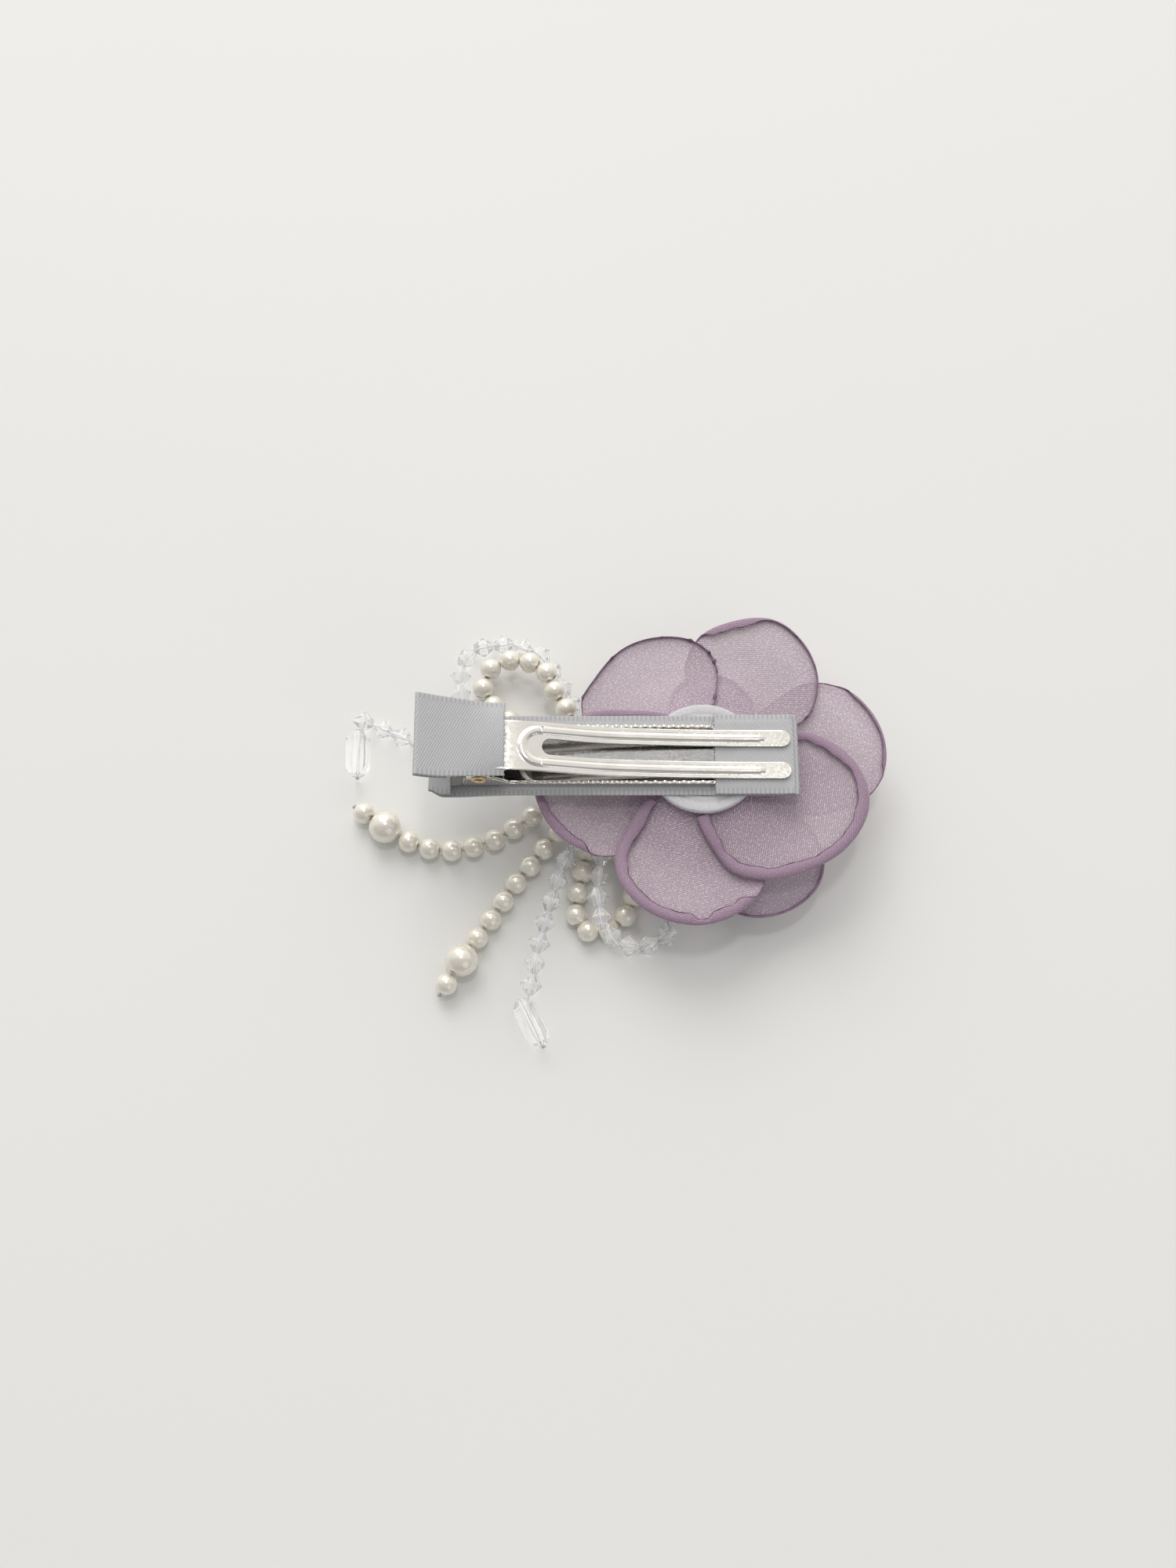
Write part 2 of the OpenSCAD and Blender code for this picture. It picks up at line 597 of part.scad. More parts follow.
placed() pearl_loop_beads(pearl_loop_up_route);  // pearl_loop_up_beads
placed() thread(pearl_loop_low_route);  // pearl_loop_low_thread
placed() pearl_loop_beads(pearl_loop_low_route);  // pearl_loop_low_beads
placed() thread(crystal_loop_up_route);  // crystal_loop_up_thread
placed() crystal_loop_beads(crystal_loop_up_route);  // crystal_loop_up_beads
placed() thread(crystal_loop_low_route);  // crystal_loop_low_thread
placed() crystal_loop_beads(crystal_loop_low_route);  // crystal_loop_low_beads
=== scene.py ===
"""Flower hair clip: a sprung two-pronged clip, a ribbon wrap, an organza flower and a bow of strung beads.

Every length in this file is in millimetres until Layout.row() turns it into the frame's metres. Plan
places are measured from the clip's hinge axis, as in the design: +X to the prong tips, +Y across the
clip, +Z from the flower's face to the back of the clip.
"""

from __future__ import annotations

import json
import logging
import math
import random
from dataclasses import dataclass
from enum import Enum
from typing import Callable, Iterable, Sequence

import bmesh
import bpy
from mathutils import Matrix, Vector, noise

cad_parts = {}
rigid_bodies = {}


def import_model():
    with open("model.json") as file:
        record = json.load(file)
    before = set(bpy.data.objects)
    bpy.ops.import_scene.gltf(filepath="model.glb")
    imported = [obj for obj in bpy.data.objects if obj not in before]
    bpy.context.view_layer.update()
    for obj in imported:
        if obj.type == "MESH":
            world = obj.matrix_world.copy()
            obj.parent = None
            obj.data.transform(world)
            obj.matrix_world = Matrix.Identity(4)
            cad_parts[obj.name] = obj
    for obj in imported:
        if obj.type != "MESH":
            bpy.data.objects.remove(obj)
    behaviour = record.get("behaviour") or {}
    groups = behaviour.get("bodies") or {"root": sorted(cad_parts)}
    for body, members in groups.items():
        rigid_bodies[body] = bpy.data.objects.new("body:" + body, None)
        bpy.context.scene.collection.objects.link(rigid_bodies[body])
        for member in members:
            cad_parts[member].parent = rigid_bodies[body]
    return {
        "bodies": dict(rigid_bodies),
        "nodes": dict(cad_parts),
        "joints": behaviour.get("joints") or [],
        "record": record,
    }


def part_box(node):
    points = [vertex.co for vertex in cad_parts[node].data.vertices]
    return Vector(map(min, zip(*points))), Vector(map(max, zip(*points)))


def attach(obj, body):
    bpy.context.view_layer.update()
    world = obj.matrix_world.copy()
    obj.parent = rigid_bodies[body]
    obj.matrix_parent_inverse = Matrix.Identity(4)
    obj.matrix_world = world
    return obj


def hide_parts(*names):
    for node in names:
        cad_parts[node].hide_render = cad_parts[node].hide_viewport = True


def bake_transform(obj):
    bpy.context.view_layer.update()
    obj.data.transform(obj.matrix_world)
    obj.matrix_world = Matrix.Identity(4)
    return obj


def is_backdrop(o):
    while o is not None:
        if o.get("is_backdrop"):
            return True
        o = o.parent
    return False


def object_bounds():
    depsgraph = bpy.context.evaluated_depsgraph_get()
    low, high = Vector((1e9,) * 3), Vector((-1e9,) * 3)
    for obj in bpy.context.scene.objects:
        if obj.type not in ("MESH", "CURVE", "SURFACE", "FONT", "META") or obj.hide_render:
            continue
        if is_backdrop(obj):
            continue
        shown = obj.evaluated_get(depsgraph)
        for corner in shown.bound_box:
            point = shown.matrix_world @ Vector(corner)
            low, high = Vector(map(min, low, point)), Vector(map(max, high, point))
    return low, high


LOG = logging.getLogger("flower_clip")
MM = 0.001
SEED = 2207
SELVEDGE_PITCH = 0.82

Point = tuple[float, float, float]
Flat = tuple[float, float]


# --------------------------------------------------------------------------------------------------
# Sums
# --------------------------------------------------------------------------------------------------
def smooth(value: float) -> float:
    """Return value clamped to 0..1 and eased at both ends."""
    c = max(0.0, min(1.0, value))
    return c * c * (3.0 - 2.0 * c)


def mix(a: float, b: float, share: float) -> float:
    """Return the number that lies share of the way from a to b."""
    return a + (b - a) * share


def spline_at(points: Sequence[Sequence[float]], share: float) -> tuple[float, ...]:
    """Find a place on a smooth curve through the listed points.

    Args:
        points: the points the curve passes through, of any dimension.
        share: how far along the list, from 0 to 1.

    Returns:
        The place, with as many numbers as a listed point has.
    """
    last = len(points) - 1
    f = max(0.0, min(1.0, share)) * last
    i = min(int(f), last - 1)
    t = f - i
    p0, p1 = points[max(i - 1, 0)], points[i]
    p2, p3 = points[i + 1], points[min(i + 2, last)]
    return tuple(
        0.5
        * (
            2 * b
            + (c - a) * t
            + (2 * a - 5 * b + 4 * c - d) * t * t
            + (3 * b - a - 3 * c + d) * t * t * t
        )
        for a, b, c, d in zip(p0, p1, p2, p3)
    )


def even_run(points: Sequence[Sequence[float]], step: float, fine: int = 24) -> list[Vector]:
    """Resample a smooth curve through points so that its samples lie one step apart.

    Args:
        points: the points the curve passes through.
        step: the spacing wanted between samples.
        fine: how many trial samples are taken between two listed points.

    Returns:
        Evenly spaced samples, the ends among them.
    """
    count = (len(points) - 1) * fine
    dense = [Vector(spline_at(points, k / count)) for k in range(count + 1)]
    lengths = [0.0]
    for a, b in zip(dense, dense[1:]):
        lengths.append(lengths[-1] + (b - a).length)
    pieces = max(2, round(lengths[-1] / step))
    out: list[Vector] = []
    j = 0
    for k in range(pieces + 1):
        want = lengths[-1] * k / pieces
        while j < len(lengths) - 2 and lengths[j + 1] < want:
            j += 1
        span = max(lengths[j + 1] - lengths[j], 1e-9)
        out.append(dense[j].lerp(dense[j + 1], max(0.0, min(1.0, (want - lengths[j]) / span))))
    return out


def run_length(points: Sequence[Vector]) -> float:
    """Return the length of a broken line."""
    return sum((b - a).length for a, b in zip(points, points[1:]))


# --------------------------------------------------------------------------------------------------
# Where things are
# --------------------------------------------------------------------------------------------------
@dataclass(frozen=True)
class Layout:
    """Places that the frame gives, in millimetres from the hinge axis."""

    shift_x: float
    shift_y: float
    hinge_z: float
    felt_low: float
    felt_high: float
    base_low: float
    base_top: float
    flower_x: float
    flower_y: float
    knot: Point

    @classmethod
    def from_frame(cls, frame: dict) -> "Layout":
        """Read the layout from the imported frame.


        Returns:
            The layout, with the hinge at x = 0 and y = 0.
        """
        joints = {j["name"]: j for j in frame["record"]["behaviour"]["joints"]}
        hinge = joints["jaw_hinge"]["pos_m"]
        felt_a, felt_b = (Vector(v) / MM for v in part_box("felt_disc"))
        knot_a, knot_b = (Vector(v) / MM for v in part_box("bow_knot"))
        sx, sy, hz = (value / MM for value in hinge)
        base_low = hz - HINGE_RISE
        return cls(
            shift_x=sx,
            shift_y=sy,
            hinge_z=hz,
            felt_low=felt_a.z,
            felt_high=felt_b.z,
            base_low=base_low,
            base_top=base_low + SHEET_T,
            flower_x=(felt_a.x + felt_b.x) / 2 - sx,
            flower_y=(felt_a.y + felt_b.y) / 2 - sy,
            knot=(
                (knot_a.x + knot_b.x) / 2 - sx,
                (knot_a.y + knot_b.y) / 2 - sy,
                (knot_a.z + knot_b.z) / 2,
            ),
        )

    def row(self, x: float, y: float, z: float) -> Vector:
        """Turn a place in millimetres from the hinge into the row frame's metres."""
        return Vector(((x + self.shift_x) * MM, (y + self.shift_y) * MM, z * MM))

    def row_of(self, p: Sequence[float]) -> Vector:
        """Turn a listed point into the row frame's metres."""
        return self.row(p[0], p[1], p[2])


HINGE_RISE = 4.0
SHEET_T = 0.5


# --------------------------------------------------------------------------------------------------
# Making meshes
# --------------------------------------------------------------------------------------------------
class Maker:
    """Builds mesh objects from grids, tubes and lathes given in row-frame metres."""

    LAY = "lay"

    @staticmethod
    def object_of(name: str, mesh: bpy.types.Mesh) -> bpy.types.Object:
        """Link a mesh into the scene as an object and return the object."""
        obj = bpy.data.objects.new(name, mesh)
        bpy.context.scene.collection.objects.link(obj)
        return obj

    @classmethod
    def from_lists(
        cls,
        name: str,
        points: Sequence[Vector],
        faces: Sequence[Sequence[int]],
        lay: Sequence[Flat] | None = None,
        smooth_faces: bool = True,
    ) -> bpy.types.Object:
        """Make an object from points and faces.

        Args:
            name: the object's name.
            points: corner places in metres.
            faces: corner numbers of each face.
            lay: for each corner, its place on the cloth in millimetres, kept as a UV layer.
            smooth_faces: whether the faces are shaded smooth.

        Returns:
            The linked object.
        """
        mesh = bpy.data.meshes.new(name)
        mesh.from_pydata([tuple(p) for p in points], [], [tuple(f) for f in faces])
        if lay is not None:
            layer = mesh.uv_layers.new(name=cls.LAY)
            for loop in mesh.loops:
                layer.data[loop.index].uv = lay[loop.vertex_index]
        mesh.polygons.foreach_set("use_smooth", [smooth_faces] * len(mesh.polygons))
        mesh.update()
        return cls.object_of(name, mesh)

    @staticmethod
    def grid_faces(rows: int, cols: int, close: bool = False, start: int = 0) -> list[tuple[int, ...]]:
        """List the faces of a grid of corners.

        Args:
            rows: number of rows of corners.
            cols: number of corners in a row.
            close: whether each row joins back to its own start.
            start: number of the grid's first corner.

        Returns:
            Four-cornered faces.
        """
        span = cols if close else cols - 1
        return [
            (
                start + r * cols + c,
                start + r * cols + (c + 1) % cols,
                start + (r + 1) * cols + (c + 1) % cols,
                start + (r + 1) * cols + c,
            )
            for r in range(rows - 1)
            for c in range(span)
        ]

    @staticmethod
    def frames_along(path: Sequence[Vector]) -> list[tuple[Vector, Vector, Vector]]:
        """Carry a twist-free pair of side directions along a path.

        Args:
            path: the points of the path.

        Returns:
            For each point its run direction and two side directions.
        """
        runs = []
        for i in range(len(path)):
            a, b = path[max(i - 1, 0)], path[min(i + 1, len(path) - 1)]
            runs.append((b - a).normalized())
        helper = Vector((0, 0, 1)) if abs(runs[0].z) < 0.9 else Vector((1, 0, 0))
        side = runs[0].cross(helper).normalized()
        out = []
        for run in runs:
            side = (side - run * side.dot(run)).normalized()
            out.append((run, side, run.cross(side)))
        return out

    @classmethod
    def tube_lists(
        cls,
        path: Sequence[Vector],
        radius: float | Callable[[float], float],
        sides: int,
        start: int = 0,
    ) -> tuple[list[Vector], list[tuple[int, ...]]]:
        """List the corners and faces of a capped round tube.

        Args:
            path: the centreline.
            radius: the tube's radius, or a function of the share along it.
            sides: corners in a ring.
            start: number of the first corner.

        Returns:
            The corners and the faces.
        """
        points: list[Vector] = []
        last = len(path) - 1
        for i, (_, u, v) in enumerate(cls.frames_along(path)):
            r = radius(i / last) if callable(radius) else radius
            for k in range(sides):
                a = math.tau * k / sides
                points.append(path[i] + r * (math.cos(a) * u + math.sin(a) * v))
        faces = cls.grid_faces(len(path), sides, True, start)
        faces.append(tuple(start + k for k in range(sides - 1, -1, -1)))
        faces.append(tuple(start + last * sides + k for k in range(sides)))
        return points, faces

    @classmethod
    def tube(
        cls,
        name: str,
        path: Sequence[Vector],
        radius: float | Callable[[float], float],
        sides: int = 10,
    ) -> bpy.types.Object:
        """Make one capped round tube along path and return it."""
        points, faces = cls.tube_lists(path, radius, sides)
        return cls.from_lists(name, points, faces)

    @classmethod
    def lathe_lists(
        cls, outline: Sequence[Flat], sides: int, close: bool, start: int = 0
    ) -> tuple[list[Vector], list[tuple[int, ...]]]:
        """Turn an outline of radius and height about Z.

        Args:
            outline: radius and height pairs, in any unit.
            sides: steps round the axis.
            close: whether the outline joins back to its start.
            start: number of the first corner.

        Returns:
            The corners and the faces.
        """
        points = [
            Vector((r * math.cos(math.tau * k / sides), r * math.sin(math.tau * k / sides), h))
            for r, h in outline
            for k in range(sides)
        ]
        faces = cls.grid_faces(len(outline), sides, True, start)
        if close:
            n = len(outline) - 1
            faces += [
                tuple(start + c for c in (n * sides + k, n * sides + (k + 1) % sides, (k + 1) % sides, k))
                for k in range(sides)
            ]
        return points, faces

    @staticmethod
    def apply_all(obj: bpy.types.Object) -> bpy.types.Object:
        """Bake an object's modifiers into its mesh and return the object."""
        graph = bpy.context.evaluated_depsgraph_get()
        done = bpy.data.meshes.new_from_object(obj.evaluated_get(graph))
        old = obj.data
        obj.modifiers.clear()
        obj.data = done
        done.name = old.name
        bpy.data.meshes.remove(old)
        return obj

    @classmethod
    def sheet_metal(cls, obj: bpy.types.Object, thick: float, offset: float, edge: float) -> bpy.types.Object:
        """Give a surface a sheet's thickness and softened edges.

        Args:
            obj: an open surface, in metres.
            thick: sheet thickness in millimetres.
            offset: -1 grows it down from the surface, 1 grows it up.
            edge: radius of the softened edges in millimetres.

        Returns:
            The object, with a closed mesh.
        """
        solid = obj.modifiers.new("thick", "SOLIDIFY")
        solid.thickness = thick * MM
        solid.offset = offset
        solid.use_even_offset = True
        bevel = obj.modifiers.new("edge", "BEVEL")
        bevel.width = edge * MM
        bevel.segments = 2
        bevel.limit_method = "ANGLE"
        bevel.angle_limit = math.radians(48)
        bevel.harden_normals = False
        cls.apply_all(obj)
        obj.data.polygons.foreach_set("use_smooth", [True] * len(obj.data.polygons))
        return obj

    @staticmethod
    def weld(obj: bpy.types.Object, distance: float = 0.004) -> bpy.types.Object:
        """Merge corners that lie within distance millimetres and make the faces agree."""
        bm = bmesh.new()
        bm.from_mesh(obj.data)
        bmesh.ops.remove_doubles(bm, verts=bm.verts, dist=distance * MM)
        bmesh.ops.recalc_face_normals(bm, faces=bm.faces)
        bm.to_mesh(obj.data)
        bm.free()
        return obj

    @staticmethod
    def join(name: str, parts: Sequence[bpy.types.Object]) -> bpy.types.Object:
        """Join several objects into one, which takes the given name.

        Args:
            name: the joined object's name.
            parts: objects whose meshes are in the row frame.

        Returns:
            The joined object.
        """
        bpy.ops.object.select_all(action="DESELECT")
        for part in parts:
            part.select_set(True)
        bpy.context.view_layer.objects.active = parts[0]
        bpy.ops.object.join()
        parts[0].name = name
        parts[0].data.name = name
        return parts[0]

    @staticmethod
    def paint(obj: bpy.types.Object, name: str, values: Sequence[float]) -> None:
        """Store one number a corner under a name that a material can read."""
        attribute = obj.data.attributes.new(name, "FLOAT", "POINT")
        attribute.data.foreach_set("value", list(values))


# --------------------------------------------------------------------------------------------------
# Finishes
# --------------------------------------------------------------------------------------------------
Colour = tuple[float, float, float]


class Tree:
    """A small hand for wiring shader nodes."""

    def __init__(self, tree: bpy.types.NodeTree) -> None:
        """Take hold of a node tree."""
        self.tree = tree

    def add(self, kind: str, **values: object) -> bpy.types.Node:
        """Add a node and set its plain properties."""
        node = self.tree.nodes.new(kind)
        for key, value in values.items():
            setattr(node, key, value)
        return node

    def link(self, out: bpy.types.NodeSocket, into: bpy.types.NodeSocket) -> None:
        """Join an output to an input."""
        self.tree.links.new(out, into)

    def feed(self, socket: bpy.types.NodeSocket, value: object) -> None:
        """Give an input a number, a colour or another node's output."""
        if isinstance(value, bpy.types.NodeSocket):
            self.link(value, socket)
        elif isinstance(value, tuple) and len(value) == 3 and socket.type == "RGBA":
            socket.default_value = (*value, 1.0)
        else:
            socket.default_value = value

    def math(self, operation: str, a: object, b: object = 0.0, c: object = 0.0) -> bpy.types.NodeSocket:
        """Add a Math node over up to three values and return its output."""
        node = self.add("ShaderNodeMath", operation=operation)
        for socket, value in zip(node.inputs, (a, b, c)):
            self.feed(socket, value)
        return node.outputs[0]

    def blend(self, share: object, a: object, b: object) -> bpy.types.NodeSocket:
        """Mix two colours by a share and return the colour."""
        node = self.add("ShaderNodeMix", data_type="RGBA")
        self.feed(node.inputs[0], share)
        self.feed(node.inputs[6], a)
        self.feed(node.inputs[7], b)
        return node.outputs[2]

    def spread(
        self, value: object, low: float, high: float, to_low: float, to_high: float
    ) -> bpy.types.NodeSocket:
        """Rescale a value from one range to another, held inside it."""
        node = self.add("ShaderNodeMapRange")
        for socket, number in zip(node.inputs, (value, low, high, to_low, to_high)):
            self.feed(socket, number)
        return node.outputs[0]

    def speckle(self, where: object, scale: float, detail: float = 2.0) -> bpy.types.NodeSocket:
        """Add soft noise and return its value."""
        node = self.add("ShaderNodeTexNoise")
        self.feed(node.inputs["Vector"], where)
        node.inputs["Scale"].default_value = scale
        node.inputs["Detail"].default_value = detail
        return node.outputs[0]

    def named(self, attribute: str) -> bpy.types.NodeSocket:
        """Read a number that a mesh keeps at its corners."""
        return self.add("ShaderNodeAttribute", attribute_name=attribute).outputs["Fac"]

    def place(self) -> bpy.types.NodeSocket:
        """Read the place on the object in metres."""
        return self.add("ShaderNodeTexCoord").outputs["Object"]

    def lay(self) -> bpy.types.NodeSocket:
        """Read the place on the cloth in millimetres."""
        return self.add("ShaderNodeUVMap", uv_map=Maker.LAY).outputs[0]

    def bump(self, height: object, strength: float, depth: float) -> bpy.types.NodeSocket:
        """Add a Bump node of a depth in millimetres and return its normal."""
        node = self.add("ShaderNodeBump")
        node.inputs["Strength"].default_value = strength
        node.inputs["Distance"].default_value = depth * MM
        self.feed(node.inputs["Height"], height)
        return node.outputs[0]


class SharedEffects:
    """Node groups that more than one finish uses, each made once."""

    @staticmethod
    def _group(name: str, ins: dict[str, tuple[str, object]], outs: dict[str, str]) -> bpy.types.NodeTree:
        """Start a node group with named sockets."""
        group = bpy.data.node_groups.new(name, "ShaderNodeTree")
        for title, (kind, value) in ins.items():
            socket = group.interface.new_socket(title, in_out="INPUT", socket_type=kind)
            if value is not None:
                socket.default_value = value
        for title, kind in outs.items():
            group.interface.new_socket(title, in_out="OUTPUT", socket_type=kind)
        return group

    @classmethod
    def thread_weave(cls) -> bpy.types.NodeTree:
        """Return the group that draws crossing threads.

        Returns:
            A group with inputs Lay, Pitch, Slant, and outputs Height and Glint.
        """
        name = "thread_weave"
        if name in bpy.data.node_groups:
            return bpy.data.node_groups[name]
        group = cls._group(
            name,
            {
                "Lay": ("NodeSocketVector", None),
                "Pitch": ("NodeSocketFloat", 0.36),
                "Slant": ("NodeSocketFloat", 0.0),
            },
            {"Height": "NodeSocketFloat", "Glint": "NodeSocketFloat"},
        )
        t = Tree(group)
        ins, outs = t.add("NodeGroupInput"), t.add("NodeGroupOutput")
        parts = t.add("ShaderNodeSeparateXYZ")
        t.link(ins.outputs["Lay"], parts.inputs[0])
        u, v = parts.outputs[0], parts.outputs[1]
        slanted = t.math("ADD", v, t.math("MULTIPLY", u, ins.outputs["Slant"]))
        turn = t.math("DIVIDE", math.tau, ins.outputs["Pitch"])
        warp = t.math("SINE", t.math("MULTIPLY", u, turn))
        weft = t.math("SINE", t.math("MULTIPLY", slanted, turn))
        height = t.math("ADD", t.math("MULTIPLY", warp, 0.25), t.math("MULTIPLY", weft, 0.25))
        t.link(t.math("ADD", height, 0.5), outs.inputs["Height"])
        stretch = t.add("ShaderNodeVectorMath", operation="MULTIPLY")
        t.link(ins.outputs["Lay"], stretch.inputs[0])
        stretch.inputs[1].default_value = (2.2, 3.6, 1.0)
        fleck = t.spread(t.speckle(stretch.outputs[0], 1.0, 3.0), 0.46, 0.68, 0.0, 1.0)
        t.link(t.math("MULTIPLY", fleck, t.spread(weft, -0.6, 0.7, 0.15, 1.0)), outs.inputs["Glint"])
        return group

    @classmethod
    def soft_wear(cls) -> bpy.types.NodeTree:
        """Return the group that varies a tone and a gloss over a surface.

        Returns:
            A group with inputs Place and Size, and outputs Tone and Fine.
        """
        name = "soft_wear"
        if name in bpy.data.node_groups:
            return bpy.data.node_groups[name]
        group = cls._group(
            name,
            {"Place": ("NodeSocketVector", None), "Size": ("NodeSocketFloat", 400.0)},
            {"Tone": "NodeSocketFloat", "Fine": "NodeSocketFloat"},
        )
        t = Tree(group)
        ins, outs = t.add("NodeGroupInput"), t.add("NodeGroupOutput")
        broad = t.add("ShaderNodeTexNoise")
        t.link(ins.outputs["Place"], broad.inputs["Vector"])
        t.link(ins.outputs["Size"], broad.inputs["Scale"])
        fine = t.add("ShaderNodeTexNoise")
        t.link(ins.outputs["Place"], fine.inputs["Vector"])
        t.link(t.math("MULTIPLY", ins.outputs["Size"], 9.0), fine.inputs["Scale"])
        fine.inputs["Detail"].default_value = 4.0
        t.link(broad.outputs[0], outs.inputs["Tone"])
        t.link(fine.outputs[0], outs.inputs["Fine"])
        return group


@dataclass(frozen=True)
class Finish:
    """Base of every finish: a name and the Principled shader's steady values."""

    name: str
    colour: Colour
    roughness: float = 0.5

    def material(self) -> bpy.types.Material:
        """Return the finish's material, made on first use."""
        name = f"finish_{self.name}"
        if name in bpy.data.materials:
            return bpy.data.materials[name]
        made = bpy.data.materials.new(name)
        made.use_nodes = True
        tree = Tree(made.node_tree)
        shader = made.node_tree.nodes["Principled BSDF"]
        shader.inputs["Base Color"].default_value = (*self.colour, 1.0)
        shader.inputs["Roughness"].default_value = self.roughness
        self.wire(tree, shader)
        return made

    def wire(self, tree: Tree, shader: bpy.types.Node) -> None:
        """Add the finish's own detail; each finish has its own."""

    def dress(self, *objects: bpy.types.Object) -> None:
        """Give objects this finish and no other."""
        for obj in objects:
            obj.data.materials.clear()
            obj.data.materials.append(self.material())

    @staticmethod
    def wear(tree: Tree, size: float) -> bpy.types.Node:
        """Place the soft wear group over the object's own place."""
        node = tree.add("ShaderNodeGroup", node_tree=SharedEffects.soft_wear())
        tree.link(tree.place(), node.inputs["Place"])
        node.inputs["Size"].default_value = size
        return node

    @staticmethod
    def weave(tree: Tree, pitch: float, slant: float) -> bpy.types.Node:
        """Place the thread weave group over the cloth's own lay."""
        node = tree.add("ShaderNodeGroup", node_tree=SharedEffects.thread_weave())
        tree.link(tree.lay(), node.inputs["Lay"])
        node.inputs["Pitch"].default_value = pitch
        node.inputs["Slant"].default_value = slant
        return node


@dataclass(frozen=True)
class PressedSteel(Finish):
    """Bright plated sheet steel or wire, with faint drawing lines and handling marks."""

    lines: float = 0.01
    wear_size: float = 260.0

    def wire(self, tree: Tree, shader: bpy.types.Node) -> None:
        """Vary the gloss and tone of the plating."""
        shader.inputs["Metallic"].default_value = 1.0
        wear = self.wear(tree, self.wear_size)
        dull = tuple(0.78 * c for c in self.colour)
        tone = tree.spread(wear.outputs["Tone"], 0.35, 0.7, 0.0, 0.35)
        tree.link(tree.blend(tone, self.colour, dull), shader.inputs["Base Color"])
        gloss = tree.spread(wear.outputs["Fine"], 0.3, 0.7, self.roughness * 0.75, self.roughness * 1.5)
        tree.link(gloss, shader.inputs["Roughness"])
        stretch = tree.add("ShaderNodeVectorMath", operation="MULTIPLY")
        tree.link(tree.place(), stretch.inputs[0])
        stretch.inputs[1].default_value = (90.0, 4200.0, 4200.0)
        tree.link(tree.bump(tree.speckle(stretch.outputs[0], 1.0), 0.08, self.lines), shader.inputs["Normal"])


@dataclass(frozen=True)
class TwillRibbon(Finish):
    """Grey satin ribbon: a fine slanting twill between ribbed selvedges."""

    width: float = 15.0
    selvedge: float = 0.95
    twill_pitch: float = 0.5

    def wire(self, tree: Tree, shader: bpy.types.Node) -> None:
        """Draw the twill lines and the selvedge ribs with painted light and shade on their relief, and the
        satin's shine.
        """
        shader.inputs["Sheen Weight"].default_value = 0.35
        shader.inputs["Sheen Roughness"].default_value = 0.35
        shader.inputs["Specular IOR Level"].default_value = 0.45
        parts = tree.add("ShaderNodeSeparateXYZ")
        tree.link(tree.lay(), parts.inputs[0])
        across, along = parts.outputs[0], parts.outputs[1]
        off_middle = tree.math("ABSOLUTE", tree.math("SUBTRACT", across, self.width / 2))
        inside = self.width / 2 - self.selvedge
        edge = tree.spread(off_middle, inside - 0.1, inside, 0.0, 1.0)
        wobble = tree.math("MULTIPLY", tree.speckle(tree.lay(), 0.8), 0.5)
        slant = tree.math("ADD", tree.math("MULTIPLY", across, 0.52), tree.math("ADD", along, wobble))
        twill = tree.math("SINE", tree.math("MULTIPLY", slant, math.tau / self.twill_pitch))
        ribs = tree.math("SINE", tree.math("MULTIPLY", along, math.tau / SELVEDGE_PITCH))
        relief = tree.math(
            "ADD",
            tree.math("MULTIPLY", twill, tree.math("SUBTRACT", 0.4, tree.math("MULTIPLY", edge, 0.4))),
            tree.math("MULTIPLY", ribs, tree.math("MULTIPLY", edge, 0.55)),
        )
        relief = tree.math("ADD", tree.math("MULTIPLY", relief, 0.5), 0.5)
        weave = self.weave(tree, 0.2, 0.0)
        relief = tree.math("ADD", relief, tree.math("MULTIPLY", weave.outputs["Height"], 0.15))
        tree.link(tree.bump(relief, 0.9, 0.12), shader.inputs["Normal"])
        # Raised threads and ribs are painted lighter and the hollows darker: painted light and shade on the
        # weave's relief.
        low = tuple(0.76 * c for c in self.colour)
        high = tuple(min(1.0, 1.22 * c) for c in self.colour)
        twill_light_and_shade = tree.blend(tree.spread(relief, 0.2, 0.95, 0.0, 1.0), low, high)
        wear = self.wear(tree, 220.0)
        worn = tree.blend(tree.spread(wear.outputs["Tone"], 0.3, 0.7, 0.0, 0.28), twill_light_and_shade, self.colour)
        edge_tone = tree.blend(tree.math("MULTIPLY", edge, 0.2), worn, low)
        tree.link(edge_tone, shader.inputs["Base Color"])
        rough = tree.math("ADD", tree.math("MULTIPLY", edge, 0.2), self.roughness)
        tree.link(rough, shader.inputs["Roughness"])


